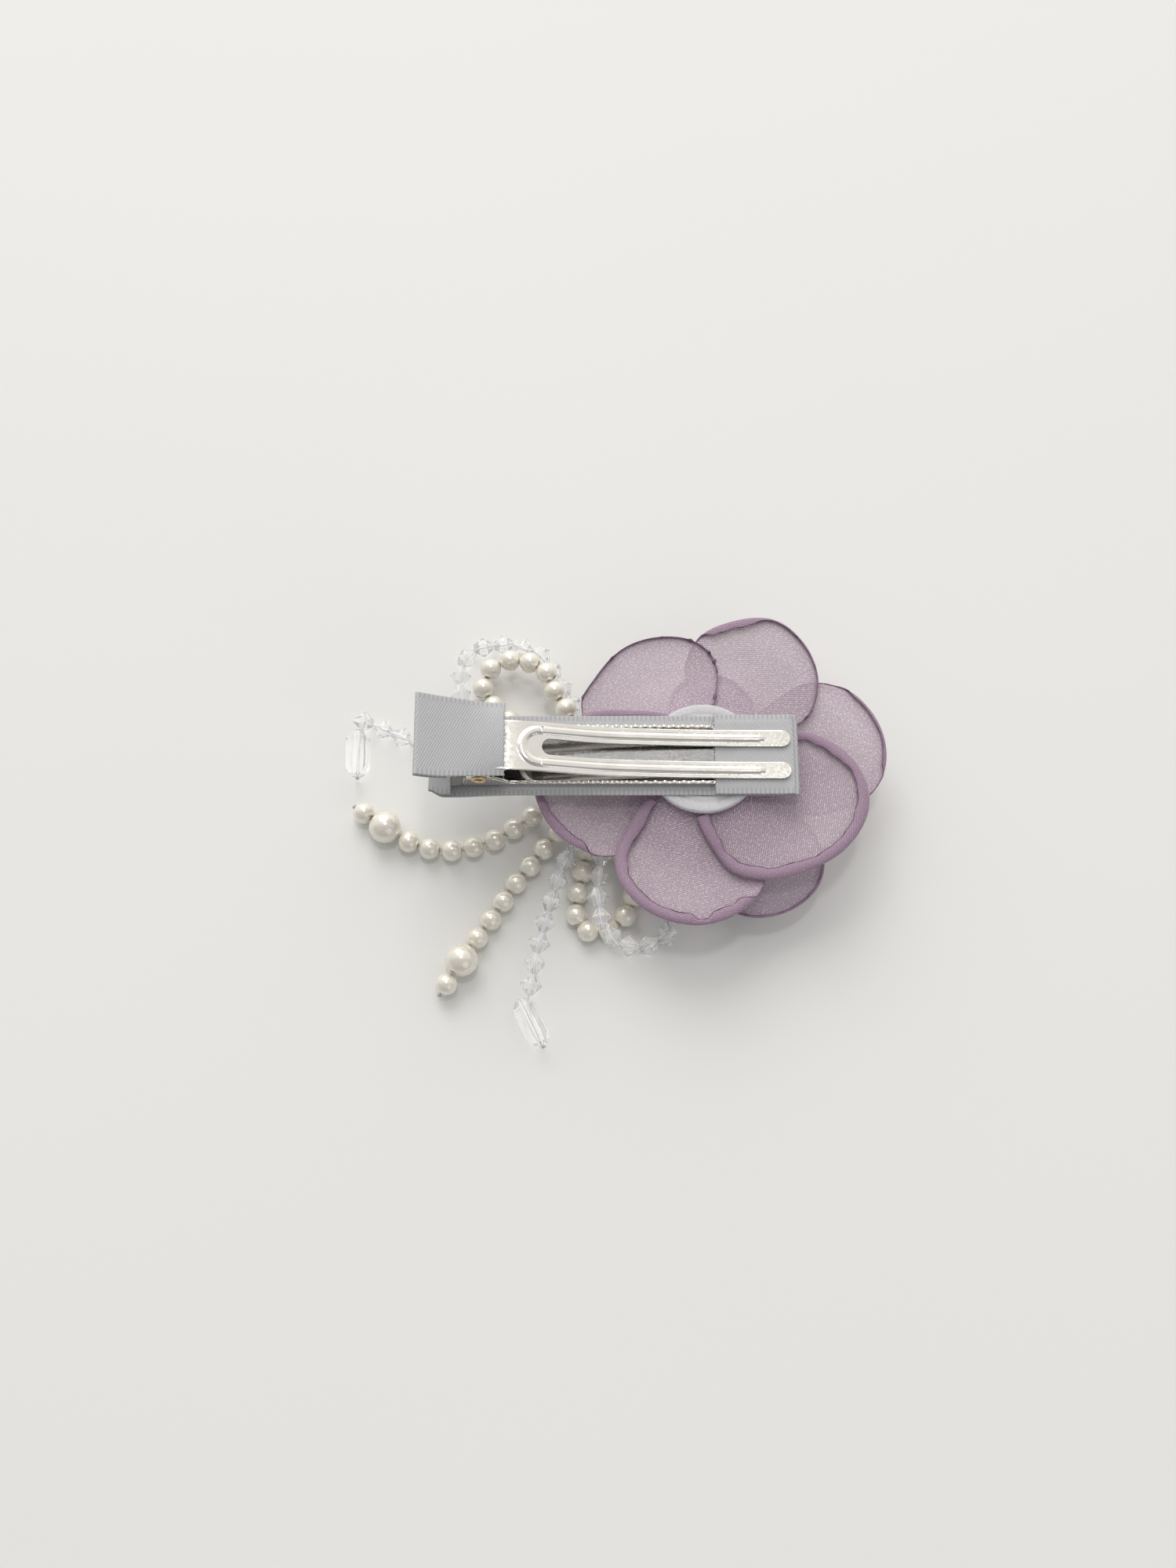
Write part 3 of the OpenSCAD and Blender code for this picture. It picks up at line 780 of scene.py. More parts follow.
@dataclass(frozen=True)
class SheerOrganza(Finish):
    """Sparkling see-through petal cloth, with painted shade deepening its colour at its rolled rim and at the
    root.
    """

    rim_shade_colour: Colour = (0.25, 0.15, 0.235)
    root_shade_colour: Colour = (0.24, 0.14, 0.26)
    cover: float = 0.72

    def wire(self, tree: Tree, shader: bpy.types.Node) -> None:
        """Draw the open weave with painted sheen on its threads, the painted glints, and the painted shade
        from root to rim.
        """
        shader.inputs["Sheen Weight"].default_value = 0.5
        shader.inputs["Sheen Roughness"].default_value = 0.3
        shader.inputs["Specular IOR Level"].default_value = 0.4
        weave = self.weave(tree, 0.42, 0.5)
        rim, root = tree.named("rim"), tree.named("root")
        wear = self.wear(tree, 150.0)
        patch = tree.spread(wear.outputs["Tone"], 0.3, 0.7, 0.0, 0.22)
        body = tree.blend(patch, self.colour, tuple(0.8 * c for c in self.colour))
        # The root by the felt and the rolled rim are painted darker: painted shade.
        toned = tree.blend(tree.math("MULTIPLY", root, 0.75), body, self.root_shade_colour)
        toned = tree.blend(tree.math("MULTIPLY", rim, 0.8), toned, self.rim_shade_colour)
        # Raised threads are painted lighter: painted sheen on the weave.
        threads = tree.spread(weave.outputs["Height"], 0.1, 0.8, 0.0, 0.45)
        threads = tree.math("MULTIPLY", threads, tree.spread(rim, 0.3, 1.0, 1.0, 0.35))
        toned = tree.blend(threads, toned, tuple(min(1.0, 1.5 * c) for c in self.colour))
        # Glints are painted into the base colour: painted highlights on the threads.
        glint = tree.math("MULTIPLY", weave.outputs["Glint"], tree.spread(rim, 0.2, 1.0, 0.9, 0.2))
        tree.link(tree.blend(glint, toned, (0.93, 0.88, 0.93)), shader.inputs["Base Color"])
        gloss = tree.math("SUBTRACT", self.roughness, tree.math("MULTIPLY", weave.outputs["Glint"], 0.2))
        tree.link(gloss, shader.inputs["Roughness"])
        relief = tree.math("ADD", weave.outputs["Height"], tree.math("MULTIPLY", weave.outputs["Glint"], 0.6))
        tree.link(tree.bump(relief, 0.6, 0.07), shader.inputs["Normal"])
        open_weave = tree.math("MULTIPLY", weave.outputs["Height"], 0.12)
        cover = tree.math("ADD", open_weave, tree.spread(rim, 0.0, 0.7, self.cover, 0.97))
        cover = tree.math("ADD", cover, tree.math("MULTIPLY", root, 0.15))
        tree.link(tree.math("MINIMUM", cover, 1.0), shader.inputs["Alpha"])


@dataclass(frozen=True)
class WoolFelt(Finish):
    """White pressed felt with a lavender cast and loose fibres."""

    def wire(self, tree: Tree, shader: bpy.types.Node) -> None:
        """Draw the felted fibres."""
        shader.inputs["Sheen Weight"].default_value = 0.4
        shader.inputs["Sheen Roughness"].default_value = 0.6
        shader.inputs["Specular IOR Level"].default_value = 0.2
        wear = self.wear(tree, 520.0)
        fibres = tree.add("ShaderNodeTexVoronoi", feature="DISTANCE_TO_EDGE")
        tree.link(tree.place(), fibres.inputs["Vector"])
        fibres.inputs["Scale"].default_value = 2600.0
        relief = tree.math("ADD", wear.outputs["Fine"], tree.math("MULTIPLY", fibres.outputs[0], 0.6))
        tree.link(tree.bump(relief, 0.6, 0.16), shader.inputs["Normal"])
        low = tuple(0.84 * c for c in self.colour)
        tone = tree.spread(wear.outputs["Fine"], 0.35, 0.62, 0.0, 1.0)
        tree.link(tree.blend(tone, low, self.colour), shader.inputs["Base Color"])


@dataclass(frozen=True)
class IvoryPearl(Finish):
    """Lacquered ivory bead: a warm body under a glossy coat."""

    warm: Colour = (0.76, 0.70, 0.56)

    def wire(self, tree: Tree, shader: bpy.types.Node) -> None:
        """Vary the bead's warmth and add the nacre coat."""
        shader.inputs["Coat Weight"].default_value = 1.0
        shader.inputs["Coat Roughness"].default_value = 0.03
        shader.inputs["Coat IOR"].default_value = 1.7
        shader.inputs["Sheen Weight"].default_value = 0.45
        shader.inputs["Sheen Roughness"].default_value = 0.2
        shader.inputs["Sheen Tint"].default_value = (1.0, 0.97, 0.93, 1.0)
        shader.inputs["Metallic"].default_value = 0.3
        wear = self.wear(tree, 330.0)
        cloud = tree.spread(wear.outputs["Tone"], 0.35, 0.7, 0.0, 0.22)
        own = tree.math("MULTIPLY", tree.named("tone"), 0.22)
        share = tree.math("ADD", cloud, own)
        tree.link(tree.blend(share, self.colour, self.warm), shader.inputs["Base Color"])
        rough = tree.spread(wear.outputs["Tone"], 0.3, 0.7, self.roughness * 0.92, self.roughness * 1.08)
        tree.link(rough, shader.inputs["Roughness"])
        tree.link(tree.bump(wear.outputs["Tone"], 0.05, 0.005), shader.inputs["Normal"])


@dataclass(frozen=True)
class CutCrystal(Finish):
    """Clear cut glass-like bead."""

    shadow_tint: Colour = (0.95, 0.95, 0.955)

    def wire(self, tree: Tree, shader: bpy.types.Node) -> None:
        """Make the bead clear and a little milky, with a pale shadow and a faint moulded waviness."""
        shader.inputs["Transmission Weight"].default_value = 0.8
        shader.inputs["IOR"].default_value = 1.42
        shader.inputs["Coat Weight"].default_value = 0.5
        output = tree.tree.nodes["Material Output"]
        passing = tree.add("ShaderNodeBsdfTransparent")
        passing.inputs[0].default_value = (*self.shadow_tint, 1.0)
        either = tree.add("ShaderNodeMixShader")
        tree.link(tree.add("ShaderNodeLightPath").outputs["Is Shadow Ray"], either.inputs[0])
        tree.link(shader.outputs[0], either.inputs[1])
        tree.link(passing.outputs[0], either.inputs[2])
        tree.link(either.outputs[0], output.inputs["Surface"])
        wear = self.wear(tree, 420.0)
        rough = tree.spread(wear.outputs["Tone"], 0.3, 0.7, self.roughness * 0.5, self.roughness * 2.0)
        tree.link(rough, shader.inputs["Roughness"])
        tree.link(tree.bump(wear.outputs["Tone"], 0.04, 0.01), shader.inputs["Normal"])
        tint = tree.spread(wear.outputs["Tone"], 0.3, 0.7, 0.0, 0.4)
        tree.link(tree.blend(tint, self.colour, (0.965, 0.97, 0.975)), shader.inputs["Base Color"])


@dataclass(frozen=True)
class SpunThread(Finish):
    """Thread with a fine spun twist."""

    clear: float = 0.0

    def wire(self, tree: Tree, shader: bpy.types.Node) -> None:
        """Draw the spin of the thread."""
        shader.inputs["Transmission Weight"].default_value = self.clear
        shader.inputs["Sheen Weight"].default_value = 0.2
        wear = self.wear(tree, 900.0)
        stripe = tree.add("ShaderNodeTexWave", bands_direction="DIAGONAL")
        tree.link(tree.place(), stripe.inputs["Vector"])
        stripe.inputs["Scale"].default_value = 900.0
        tree.link(tree.bump(stripe.outputs[1], 0.5, 0.05), shader.inputs["Normal"])
        tone = tree.spread(wear.outputs["Fine"], 0.3, 0.7, 0.0, 0.6)
        low = tuple(0.82 * c for c in self.colour)
        tree.link(tree.blend(tone, self.colour, low), shader.inputs["Base Color"])


@dataclass(frozen=True)
class SingedEdge(Finish):
    """The melted raw edge of a petal: dark, hard and uneven."""

    char: Colour = (0.07, 0.035, 0.06)

    def wire(self, tree: Tree, shader: bpy.types.Node) -> None:
        """Vary the scorching along the edge."""
        wear = self.wear(tree, 480.0)
        burnt = tree.spread(wear.outputs["Tone"], 0.42, 0.66, 0.0, 1.0)
        tree.link(tree.blend(burnt, self.colour, self.char), shader.inputs["Base Color"])
        tree.link(tree.bump(wear.outputs["Fine"], 0.6, 0.06), shader.inputs["Normal"])


@dataclass(frozen=True)
class PaleTable(Finish):
    """The plain pale surface that the clip lies on."""

    def wire(self, tree: Tree, shader: bpy.types.Node) -> None:
        """Give the table a barely seen paper grain."""
        shader.inputs["Specular IOR Level"].default_value = 0.15
        wear = self.wear(tree, 6.0)
        tone = tree.spread(wear.outputs["Tone"], 0.3, 0.7, 0.0, 0.3)
        low = tuple(0.97 * c for c in self.colour)
        tree.link(tree.blend(tone, self.colour, low), shader.inputs["Base Color"])
        tree.link(tree.bump(tree.speckle(tree.place(), 900.0), 0.15, 0.05), shader.inputs["Normal"])


STEEL = PressedSteel("plated_steel", (0.93, 0.90, 0.845), 0.13)
# The base's floor gets a far darker steel than the rest of the clip: painted shade for the channel's trough.
TROUGH_SHADE_STEEL = PressedSteel("trough_steel", (0.44, 0.435, 0.43), 0.12)
BRONZE = PressedSteel("bronze_wire", (0.76, 0.60, 0.38), 0.28)
RIBBON = TwillRibbon("grey_twill_ribbon", (0.49, 0.487, 0.50), 0.45)
RIBBON_FRAY = SpunThread("ribbon_fray", (0.55, 0.54, 0.58), 0.6)
OUTER_ORGANZA = SheerOrganza("outer_organza", (0.40, 0.30, 0.36), 0.46)
INNER_ORGANZA = SheerOrganza("inner_organza", (0.38, 0.275, 0.36), 0.5, cover=0.66)
EDGE = SingedEdge("singed_edge", (0.25, 0.145, 0.235), 0.5)
FELT = WoolFelt("pressed_wool_felt", (0.69, 0.68, 0.70), 0.92)
FELT_FUZZ = SpunThread("felt_fuzz", (0.88, 0.86, 0.91), 0.9)
PEARL = IvoryPearl("lacquered_pearl", (0.89, 0.855, 0.76), 0.27)
CRYSTAL = CutCrystal("cut_crystal", (1.0, 1.0, 1.0), 0.008)
LINE = SpunThread("clear_line", (0.86, 0.86, 0.88), 0.35, clear=0.45)
BINDING = SpunThread("spun_binding", (0.85, 0.84, 0.86), 0.6)
TABLE = PaleTable("pale_table", (0.82, 0.815, 0.795), 0.8)


# --------------------------------------------------------------------------------------------------
# Bow of beads
# --------------------------------------------------------------------------------------------------
class BeadKind(Enum):
    """What a strand is strung with."""

    PEARL = "pearl"
    CRYSTAL = "crystal"


class StrandForm(Enum):
    """Whether a strand hangs free or comes back to the knot."""

    TAIL = "tail"
    LOOP = "loop"


@dataclass(frozen=True)
class BeadCut:
    """Shapes and spacing of the beads, in millimetres."""

    pearl_d: float = 4.0
    big_pearl_d: float = 6.0
    hole_r: float = 0.48
    crystal_len: float = 3.8
    crystal_d: float = 4.0
    drop_len: float = 9.0
    drop_r: float = 2.3
    gap: float = 0.12
    bare: float = 5.2
    end_rest: float = 0.6
    drop_gap: float = 0.5

    def pearl(self, d: float, sides: int = 36) -> tuple[list[Vector], list[tuple[int, ...]]]:
        """List the corners and faces of a drilled round bead of diameter d, its hole along Z."""
        r = d / 2
        start = math.asin(self.hole_r * 1.25 / r)
        count = 22
        outline = [(self.hole_r, r * 0.86), (self.hole_r * 1.06, math.cos(start) * r - 0.05)]
        for k in range(count + 1):
            a = mix(start, math.pi - start, k / count)
            outline.append((r * math.sin(a), r * math.cos(a)))
        outline += [(self.hole_r * 1.06, 0.05 - math.cos(start) * r), (self.hole_r, -r * 0.86)]
        return Maker.lathe_lists(outline, sides, True)

    def crystal(self, sides: int = 8) -> tuple[list[Vector], list[tuple[int, ...]]]:
        """List the corners and faces of a drilled double-cone bead with a slim girdle."""
        h, r = self.crystal_len / 2, self.crystal_d / 2
        outline = [(0.3, h - 0.12), (0.7, h), (r, 0.1), (r, -0.1), (0.7, -h), (0.3, 0.12 - h)]
        return Maker.lathe_lists(outline, sides, True)

    def drop(self, sides: int = 6) -> tuple[list[Vector], list[tuple[int, ...]]]:
        """List the corners and faces of a long column bead with cut shoulders."""
        h = self.drop_len / 2
        outline = [
            (0.32, h - 0.3),
            (1.15, h),
            (self.drop_r - 0.05, h - 1.5),
            (self.drop_r, h - 1.6),
            (self.drop_r, 1.6 - h),
            (self.drop_r - 0.05, 1.5 - h),
            (1.15, -h),
            (0.32, 0.3 - h),
        ]
        return Maker.lathe_lists(outline, sides, True)


@dataclass
class Strand:
    """One run of thread from the knot with its beads."""

    name: str
    body: str
    bead: BeadKind
    form: StrandForm
    route: tuple[Point, ...]
    layout: Layout
    cut: BeadCut = BeadCut()
    thread_d: float = 0.4

    def along(self, distance: float) -> tuple[Vector, Vector]:
        """Return the place and the direction at a distance along the route, in millimetres."""
        left = distance
        for a, b in zip(self.route, self.route[1:]):
            run = Vector(b) - Vector(a)
            if left <= run.length or b is self.route[-1]:
                return Vector(a) + run.normalized() * left, run.normalized()
            left -= run.length
        raise ValueError(f"{self.name} has no route")

    def total(self) -> float:
        """Return the route's length in millimetres."""
        return run_length([Vector(p) for p in self.route])

    def bead_spots(self) -> list[float]:
        """Return the distances at which the strand's ordinary beads sit."""
        pearl = self.bead is BeadKind.PEARL
        each = (self.cut.pearl_d if pearl else self.cut.crystal_len) + self.cut.gap
        if self.form is StrandForm.LOOP:
            stop = self.total() - self.cut.bare
        elif pearl:
            end_beads = self.cut.pearl_d + self.cut.big_pearl_d + 2 * self.cut.gap
            stop = self.total() - self.cut.end_rest - end_beads
        else:
            stop = self.total() - self.cut.end_rest - self.cut.drop_len - self.cut.drop_gap
        room = stop - self.cut.bare
        count = int(room // each)
        spare = room - count * each
        return [self.cut.bare + spare + (k + 0.5) * each for k in range(count)]

    def drop_spots(self) -> list[tuple[float, float]]:
        """Return distance and diameter of the beads at a tail's end; 0 stands for the long crystal."""
        if self.form is StrandForm.LOOP:
            return []
        end = self.total() - self.cut.end_rest
        if self.bead is BeadKind.CRYSTAL:
            return [(end - self.cut.drop_len / 2, 0.0)]
        small = end - self.cut.pearl_d / 2
        big = end - self.cut.pearl_d - self.cut.gap - self.cut.big_pearl_d / 2
        return [(big, self.cut.big_pearl_d), (small, self.cut.pearl_d)]

    def thread_path(self) -> list[Vector]:
        """Return the thread's centreline in metres, through the middle of every bead."""
        stops = {0.0, self.total()}
        stops.update(self.bead_spots())
        stops.update(d for d, _ in self.drop_spots())
        reach = 0.0
        for a, b in zip(self.route, self.route[1:]):
            reach += (Vector(b) - Vector(a)).length
            if all(abs(reach - s) > 1.6 for s in stops):
                stops.add(reach)
        spots = [tuple(self.along(d)[0]) for d in sorted(stops)]
        return [self.layout.row_of(p) for p in even_run(spots, 0.5)]

    def threaded(
        self, name: str, items: Iterable[tuple[float, tuple[list[Vector], list[tuple[int, ...]]]]], flat: bool
    ) -> bpy.types.Object:
        """Make one object of beads set along the route.

        Args:
            name: the object's name.
            items: for each bead its distance and its corners and faces.
            flat: whether the facets stay flat.

        Returns:
            The object of all the beads.
        """
        rng = random.Random(f"{SEED}{name}")
        points: list[Vector] = []
        faces: list[tuple[int, ...]] = []
        tones: list[float] = []
        for distance, (corners, sides) in items:
            spot, run = self.along(distance)
            turn = run.to_track_quat("Z", "Y").to_matrix() @ Matrix.Rotation(rng.uniform(0, math.tau), 3, "Z")
            lean = Matrix.Rotation(rng.uniform(-0.05, 0.05), 3, "X")
            start, tone = len(points), rng.random()
            for c in corners:
                points.append(self.layout.row_of(spot + turn @ lean @ c))
                tones.append(tone)
            faces += [tuple(start + k for k in face) for face in sides]
        obj = Maker.from_lists(name, points, faces, smooth_faces=not flat)
        Maker.weld(obj, 0.0001)
        if len(obj.data.vertices) == len(tones):
            Maker.paint(obj, "tone", tones)
        return obj

    def end_knot(self) -> bpy.types.Object:
        """Make the small overhand knot that stops a tail's last bead."""
        spot, run = self.along(self.total() - 0.25)
        turn = run.to_track_quat("Z", "Y").to_matrix()
        loops = []
        for k in range(49):
            a = math.tau * k / 48
            ring = 0.2 + 0.1 * math.cos(3 * a)
            p = Vector((ring * math.cos(2 * a), ring * math.sin(2 * a), 0.16 * math.sin(3 * a)))
            loops.append(self.layout.row_of(spot + turn @ p))
        return Maker.tube(f"{self.name}_end_knot", loops, 0.16 * MM, 8)

    def build(self) -> None:
        """Build the strand, dress it, and hang it on its body."""
        path = self.thread_path()
        line = Maker.tube(f"{self.name}_line", path, self.thread_d / 2 * MM, 12)
        LINE.dress(line)
        pearl = self.bead is BeadKind.PEARL
        shape = self.cut.pearl(self.cut.pearl_d) if pearl else self.cut.crystal()
        beads = self.threaded(f"{self.name}_string", [(d, shape) for d in self.bead_spots()], not pearl)
        (PEARL if pearl else CRYSTAL).dress(beads)
        going = [beads]
        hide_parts(f"{self.name}_thread")
        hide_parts(f"{self.name}_beads")
        if self.form is StrandForm.TAIL:
            ends = [
                (d, self.cut.pearl(size, 44) if size else self.cut.drop())
                for d, size in self.drop_spots()
            ]
            drop = self.threaded(f"{self.name}_end_beads", ends, not pearl)
            (PEARL if pearl else CRYSTAL).dress(drop)
            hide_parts(f"{self.name}_drop")
            knot = self.end_knot()
            LINE.dress(knot)
            going += [drop, knot]
        for piece in (line, *going):
            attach(piece, self.body)
        LOG.info("%s: %d beads on %.0f mm of thread", self.name, len(self.bead_spots()), self.total())


@dataclass
class BeadBow:
    """The bow of strung beads: four tails, four loops and the binding that ties them."""

    layout: Layout
    knot_r: float = 1.9
    knot_low: float = 3.2
    wrap_d: float = 0.8
    wraps: int = 6

    TAIL_LEFT_PEARL = (
        (17.3, -3.3, 5.6), (15, -4.2, 5), (12, -5.6, 3.6), (9, -7, 2.4),
        (6, -9, 2), (2.8, -11.2, 2), (-0.8, -12.5, 2),
        (-4.2, -13.6, 2), (-8, -13.6, 2), (-11.6, -13, 2),
        (-15.2, -11.4, 2.2), (-19.2, -8.8, 3.3), (-24.5, -5, 2),
    )  # fmt: skip
    TAIL_LOW_PEARL = (
        (18.2, -4.6, 5.6), (17, -6.5, 5), (15, -9, 3.6), (12.2, -12, 2.4),
        (9.4, -15.4, 2), (6.8, -18.6, 2), (4.6, -21.6, 2),
        (2.6, -25, 2), (0.5, -28, 2), (-1.7, -31.2, 2.2), (-4, -35, 3.3), (-7.6, -40.8, 2),
    )  # fmt: skip
    TAIL_LOW_CRYSTAL = (
        (19.4, -4.9, 6.6), (18.2, -8.6, 6.6), (16.6, -13, 6),
        (14.8, -17, 5), (13.4, -20.6, 4.2), (12.2, -24.6, 3),
        (11, -28.7, 2.2), (9.8, -33, 2), (9.2, -37.4, 2),
        (8.4, -41.4, 2.2), (8.6, -44.5, 2.3), (11.4, -50, 2.3),
    )  # fmt: skip
    TAIL_LEFT_CRYSTAL = (
        (17.3, -2.2, 4.6), (14, -1.7, 3.5), (10, -1, 2.4), (5, 0.2, 2),
        (0, 2, 2), (-5, 3.6, 2), (-10, 5.6, 2),
        (-15, 8.2, 2), (-18.8, 9.9, 2), (-21.6, 11.2, 2.2), (-23.4, 11.7, 2.3), (-24.3, 11, 2.3),
        (-24, 0.2, 2.3),
    )  # fmt: skip
    LOOP_UP_PEARL = (
        (19.3, -0.1, 5.8), (18.4, 4, 6), (17, 9, 6), (14.8, 13.4, 6), (12.8, 16.6, 6), (11.4, 20.2, 5.8),
        (8.4, 22.6, 5), (4.6, 23.6, 4), (0.8, 22.4, 3.4), (-0.8, 18, 3), (1.8, 13.8, 2.6), (6, 10.6, 2.4),
        (11, 7.8, 3.6), (15.4, 3.8, 5.7), (18, -0.8, 5.8),
    )  # fmt: skip
    LOOP_UP_CRYSTAL = (
        (20.6, -0.2, 4), (20.4, 4, 2.6), (19, 9.4, 2), (17, 13.8, 2),
        (14.8, 17.8, 2), (12.6, 21.8, 2), (10, 25.4, 2),
        (4.6, 27.8, 2), (-1, 27, 2), (-5, 24, 2), (-5.4, 18.4, 2),
        (-3.6, 12.6, 2), (1, 8, 2), (6.4, 5, 2), (12, 2.2, 2.3),
        (17.5, -1.4, 4),
    )  # fmt: skip
    LOOP_LOW_PEARL = (
        (20.2, -4.9, 4.2), (20, -9, 2.6), (19, -14, 2), (18, -19, 2),
        (17, -23.4, 2), (17, -27.2, 2), (20.4, -29.6, 2),
        (24.6, -27.6, 2), (27.4, -24.2, 2), (27.6, -20, 2),
        (25.4, -14.6, 2.2), (23.4, -9, 2.6), (21.6, -4, 4),
    )  # fmt: skip
    LOOP_LOW_CRYSTAL = (
        (20.9, -4.6, 7), (22, -9, 6.8), (21.8, -14, 6.2), (21.4, -19, 6),
        (21, -23.4, 6), (21.6, -27.8, 6.2), (24.6, -32, 4.9),
        (29.4, -32, 2.6), (34, -29.4, 2.2), (34.8, -24, 2.6), (31.6, -18.4, 4.4),
        (27.4, -13, 5.6), (24.4, -8, 6.6), (21.7, -3.8, 7),
    )  # fmt: skip

    def strands(self) -> list[Strand]:
        """List the eight strands of the bow."""
        pearl, crystal = BeadKind.PEARL, BeadKind.CRYSTAL
        tail, loop = StrandForm.TAIL, StrandForm.LOOP
        facts = [
            ("pearl_tail_left", "pearl_tail_left", pearl, tail, self.TAIL_LEFT_PEARL),
            ("pearl_tail_low", "pearl_tail_low", pearl, tail, self.TAIL_LOW_PEARL),
            ("crystal_tail_low", "crystal_tail_low", crystal, tail, self.TAIL_LOW_CRYSTAL),
            ("crystal_tail_left", "crystal_tail_left", crystal, tail, self.TAIL_LEFT_CRYSTAL),
            ("pearl_loop_up", "clip_base", pearl, loop, self.LOOP_UP_PEARL),
            ("crystal_loop_up", "clip_base", crystal, loop, self.LOOP_UP_CRYSTAL),
            ("pearl_loop_low", "clip_base", pearl, loop, self.LOOP_LOW_PEARL),
            ("crystal_loop_low", "clip_base", crystal, loop, self.LOOP_LOW_CRYSTAL),
        ]
        return [Strand(*fact, self.layout) for fact in facts]

    def binding(self) -> None:
        """Wind the binding thread round the strands where they are tied."""
        x, y, _ = self.layout.knot
        reach = self.knot_r - self.wrap_d / 2
        path = []
        steps = self.wraps * 28
        for k in range(steps + 1):
            a = math.tau * self.wraps * k / steps
            z = self.knot_low + self.wrap_d / 2 + (self.wraps - 1) * self.wrap_d * k / steps
            wander = 0.06 * noise.noise(Vector((math.cos(a), math.sin(a), z)))
            out = reach + wander
            path.append(self.layout.row(x + out * math.cos(a), y + out * math.sin(a), z))
        coil = Maker.tube("bow_binding_coil", path, self.wrap_d / 2 * MM, 12)
        outline = [
            (0.02, 0.1), (reach - 0.1, 0.1), (reach, 0.3),
            (reach, 4.5), (reach - 0.1, 4.7), (0.02, 4.7),
        ]  # fmt: skip
        points, faces = Maker.lathe_lists(outline, 32, False)
        placed = [self.layout.row(x + p.x, y + p.y, self.knot_low + p.z) for p in points]
        core = Maker.from_lists("bow_binding_core", placed, faces)
        knot = Maker.join("bow_binding", [coil, core])
        BINDING.dress(knot)
        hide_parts("bow_knot")
        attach(knot, "clip_base")
        LOG.info("bow_binding: %d turns", self.wraps)

    def build(self) -> None:
        """Build the strands first, then their binding."""
        for strand in self.strands():
            strand.build()
        self.binding()


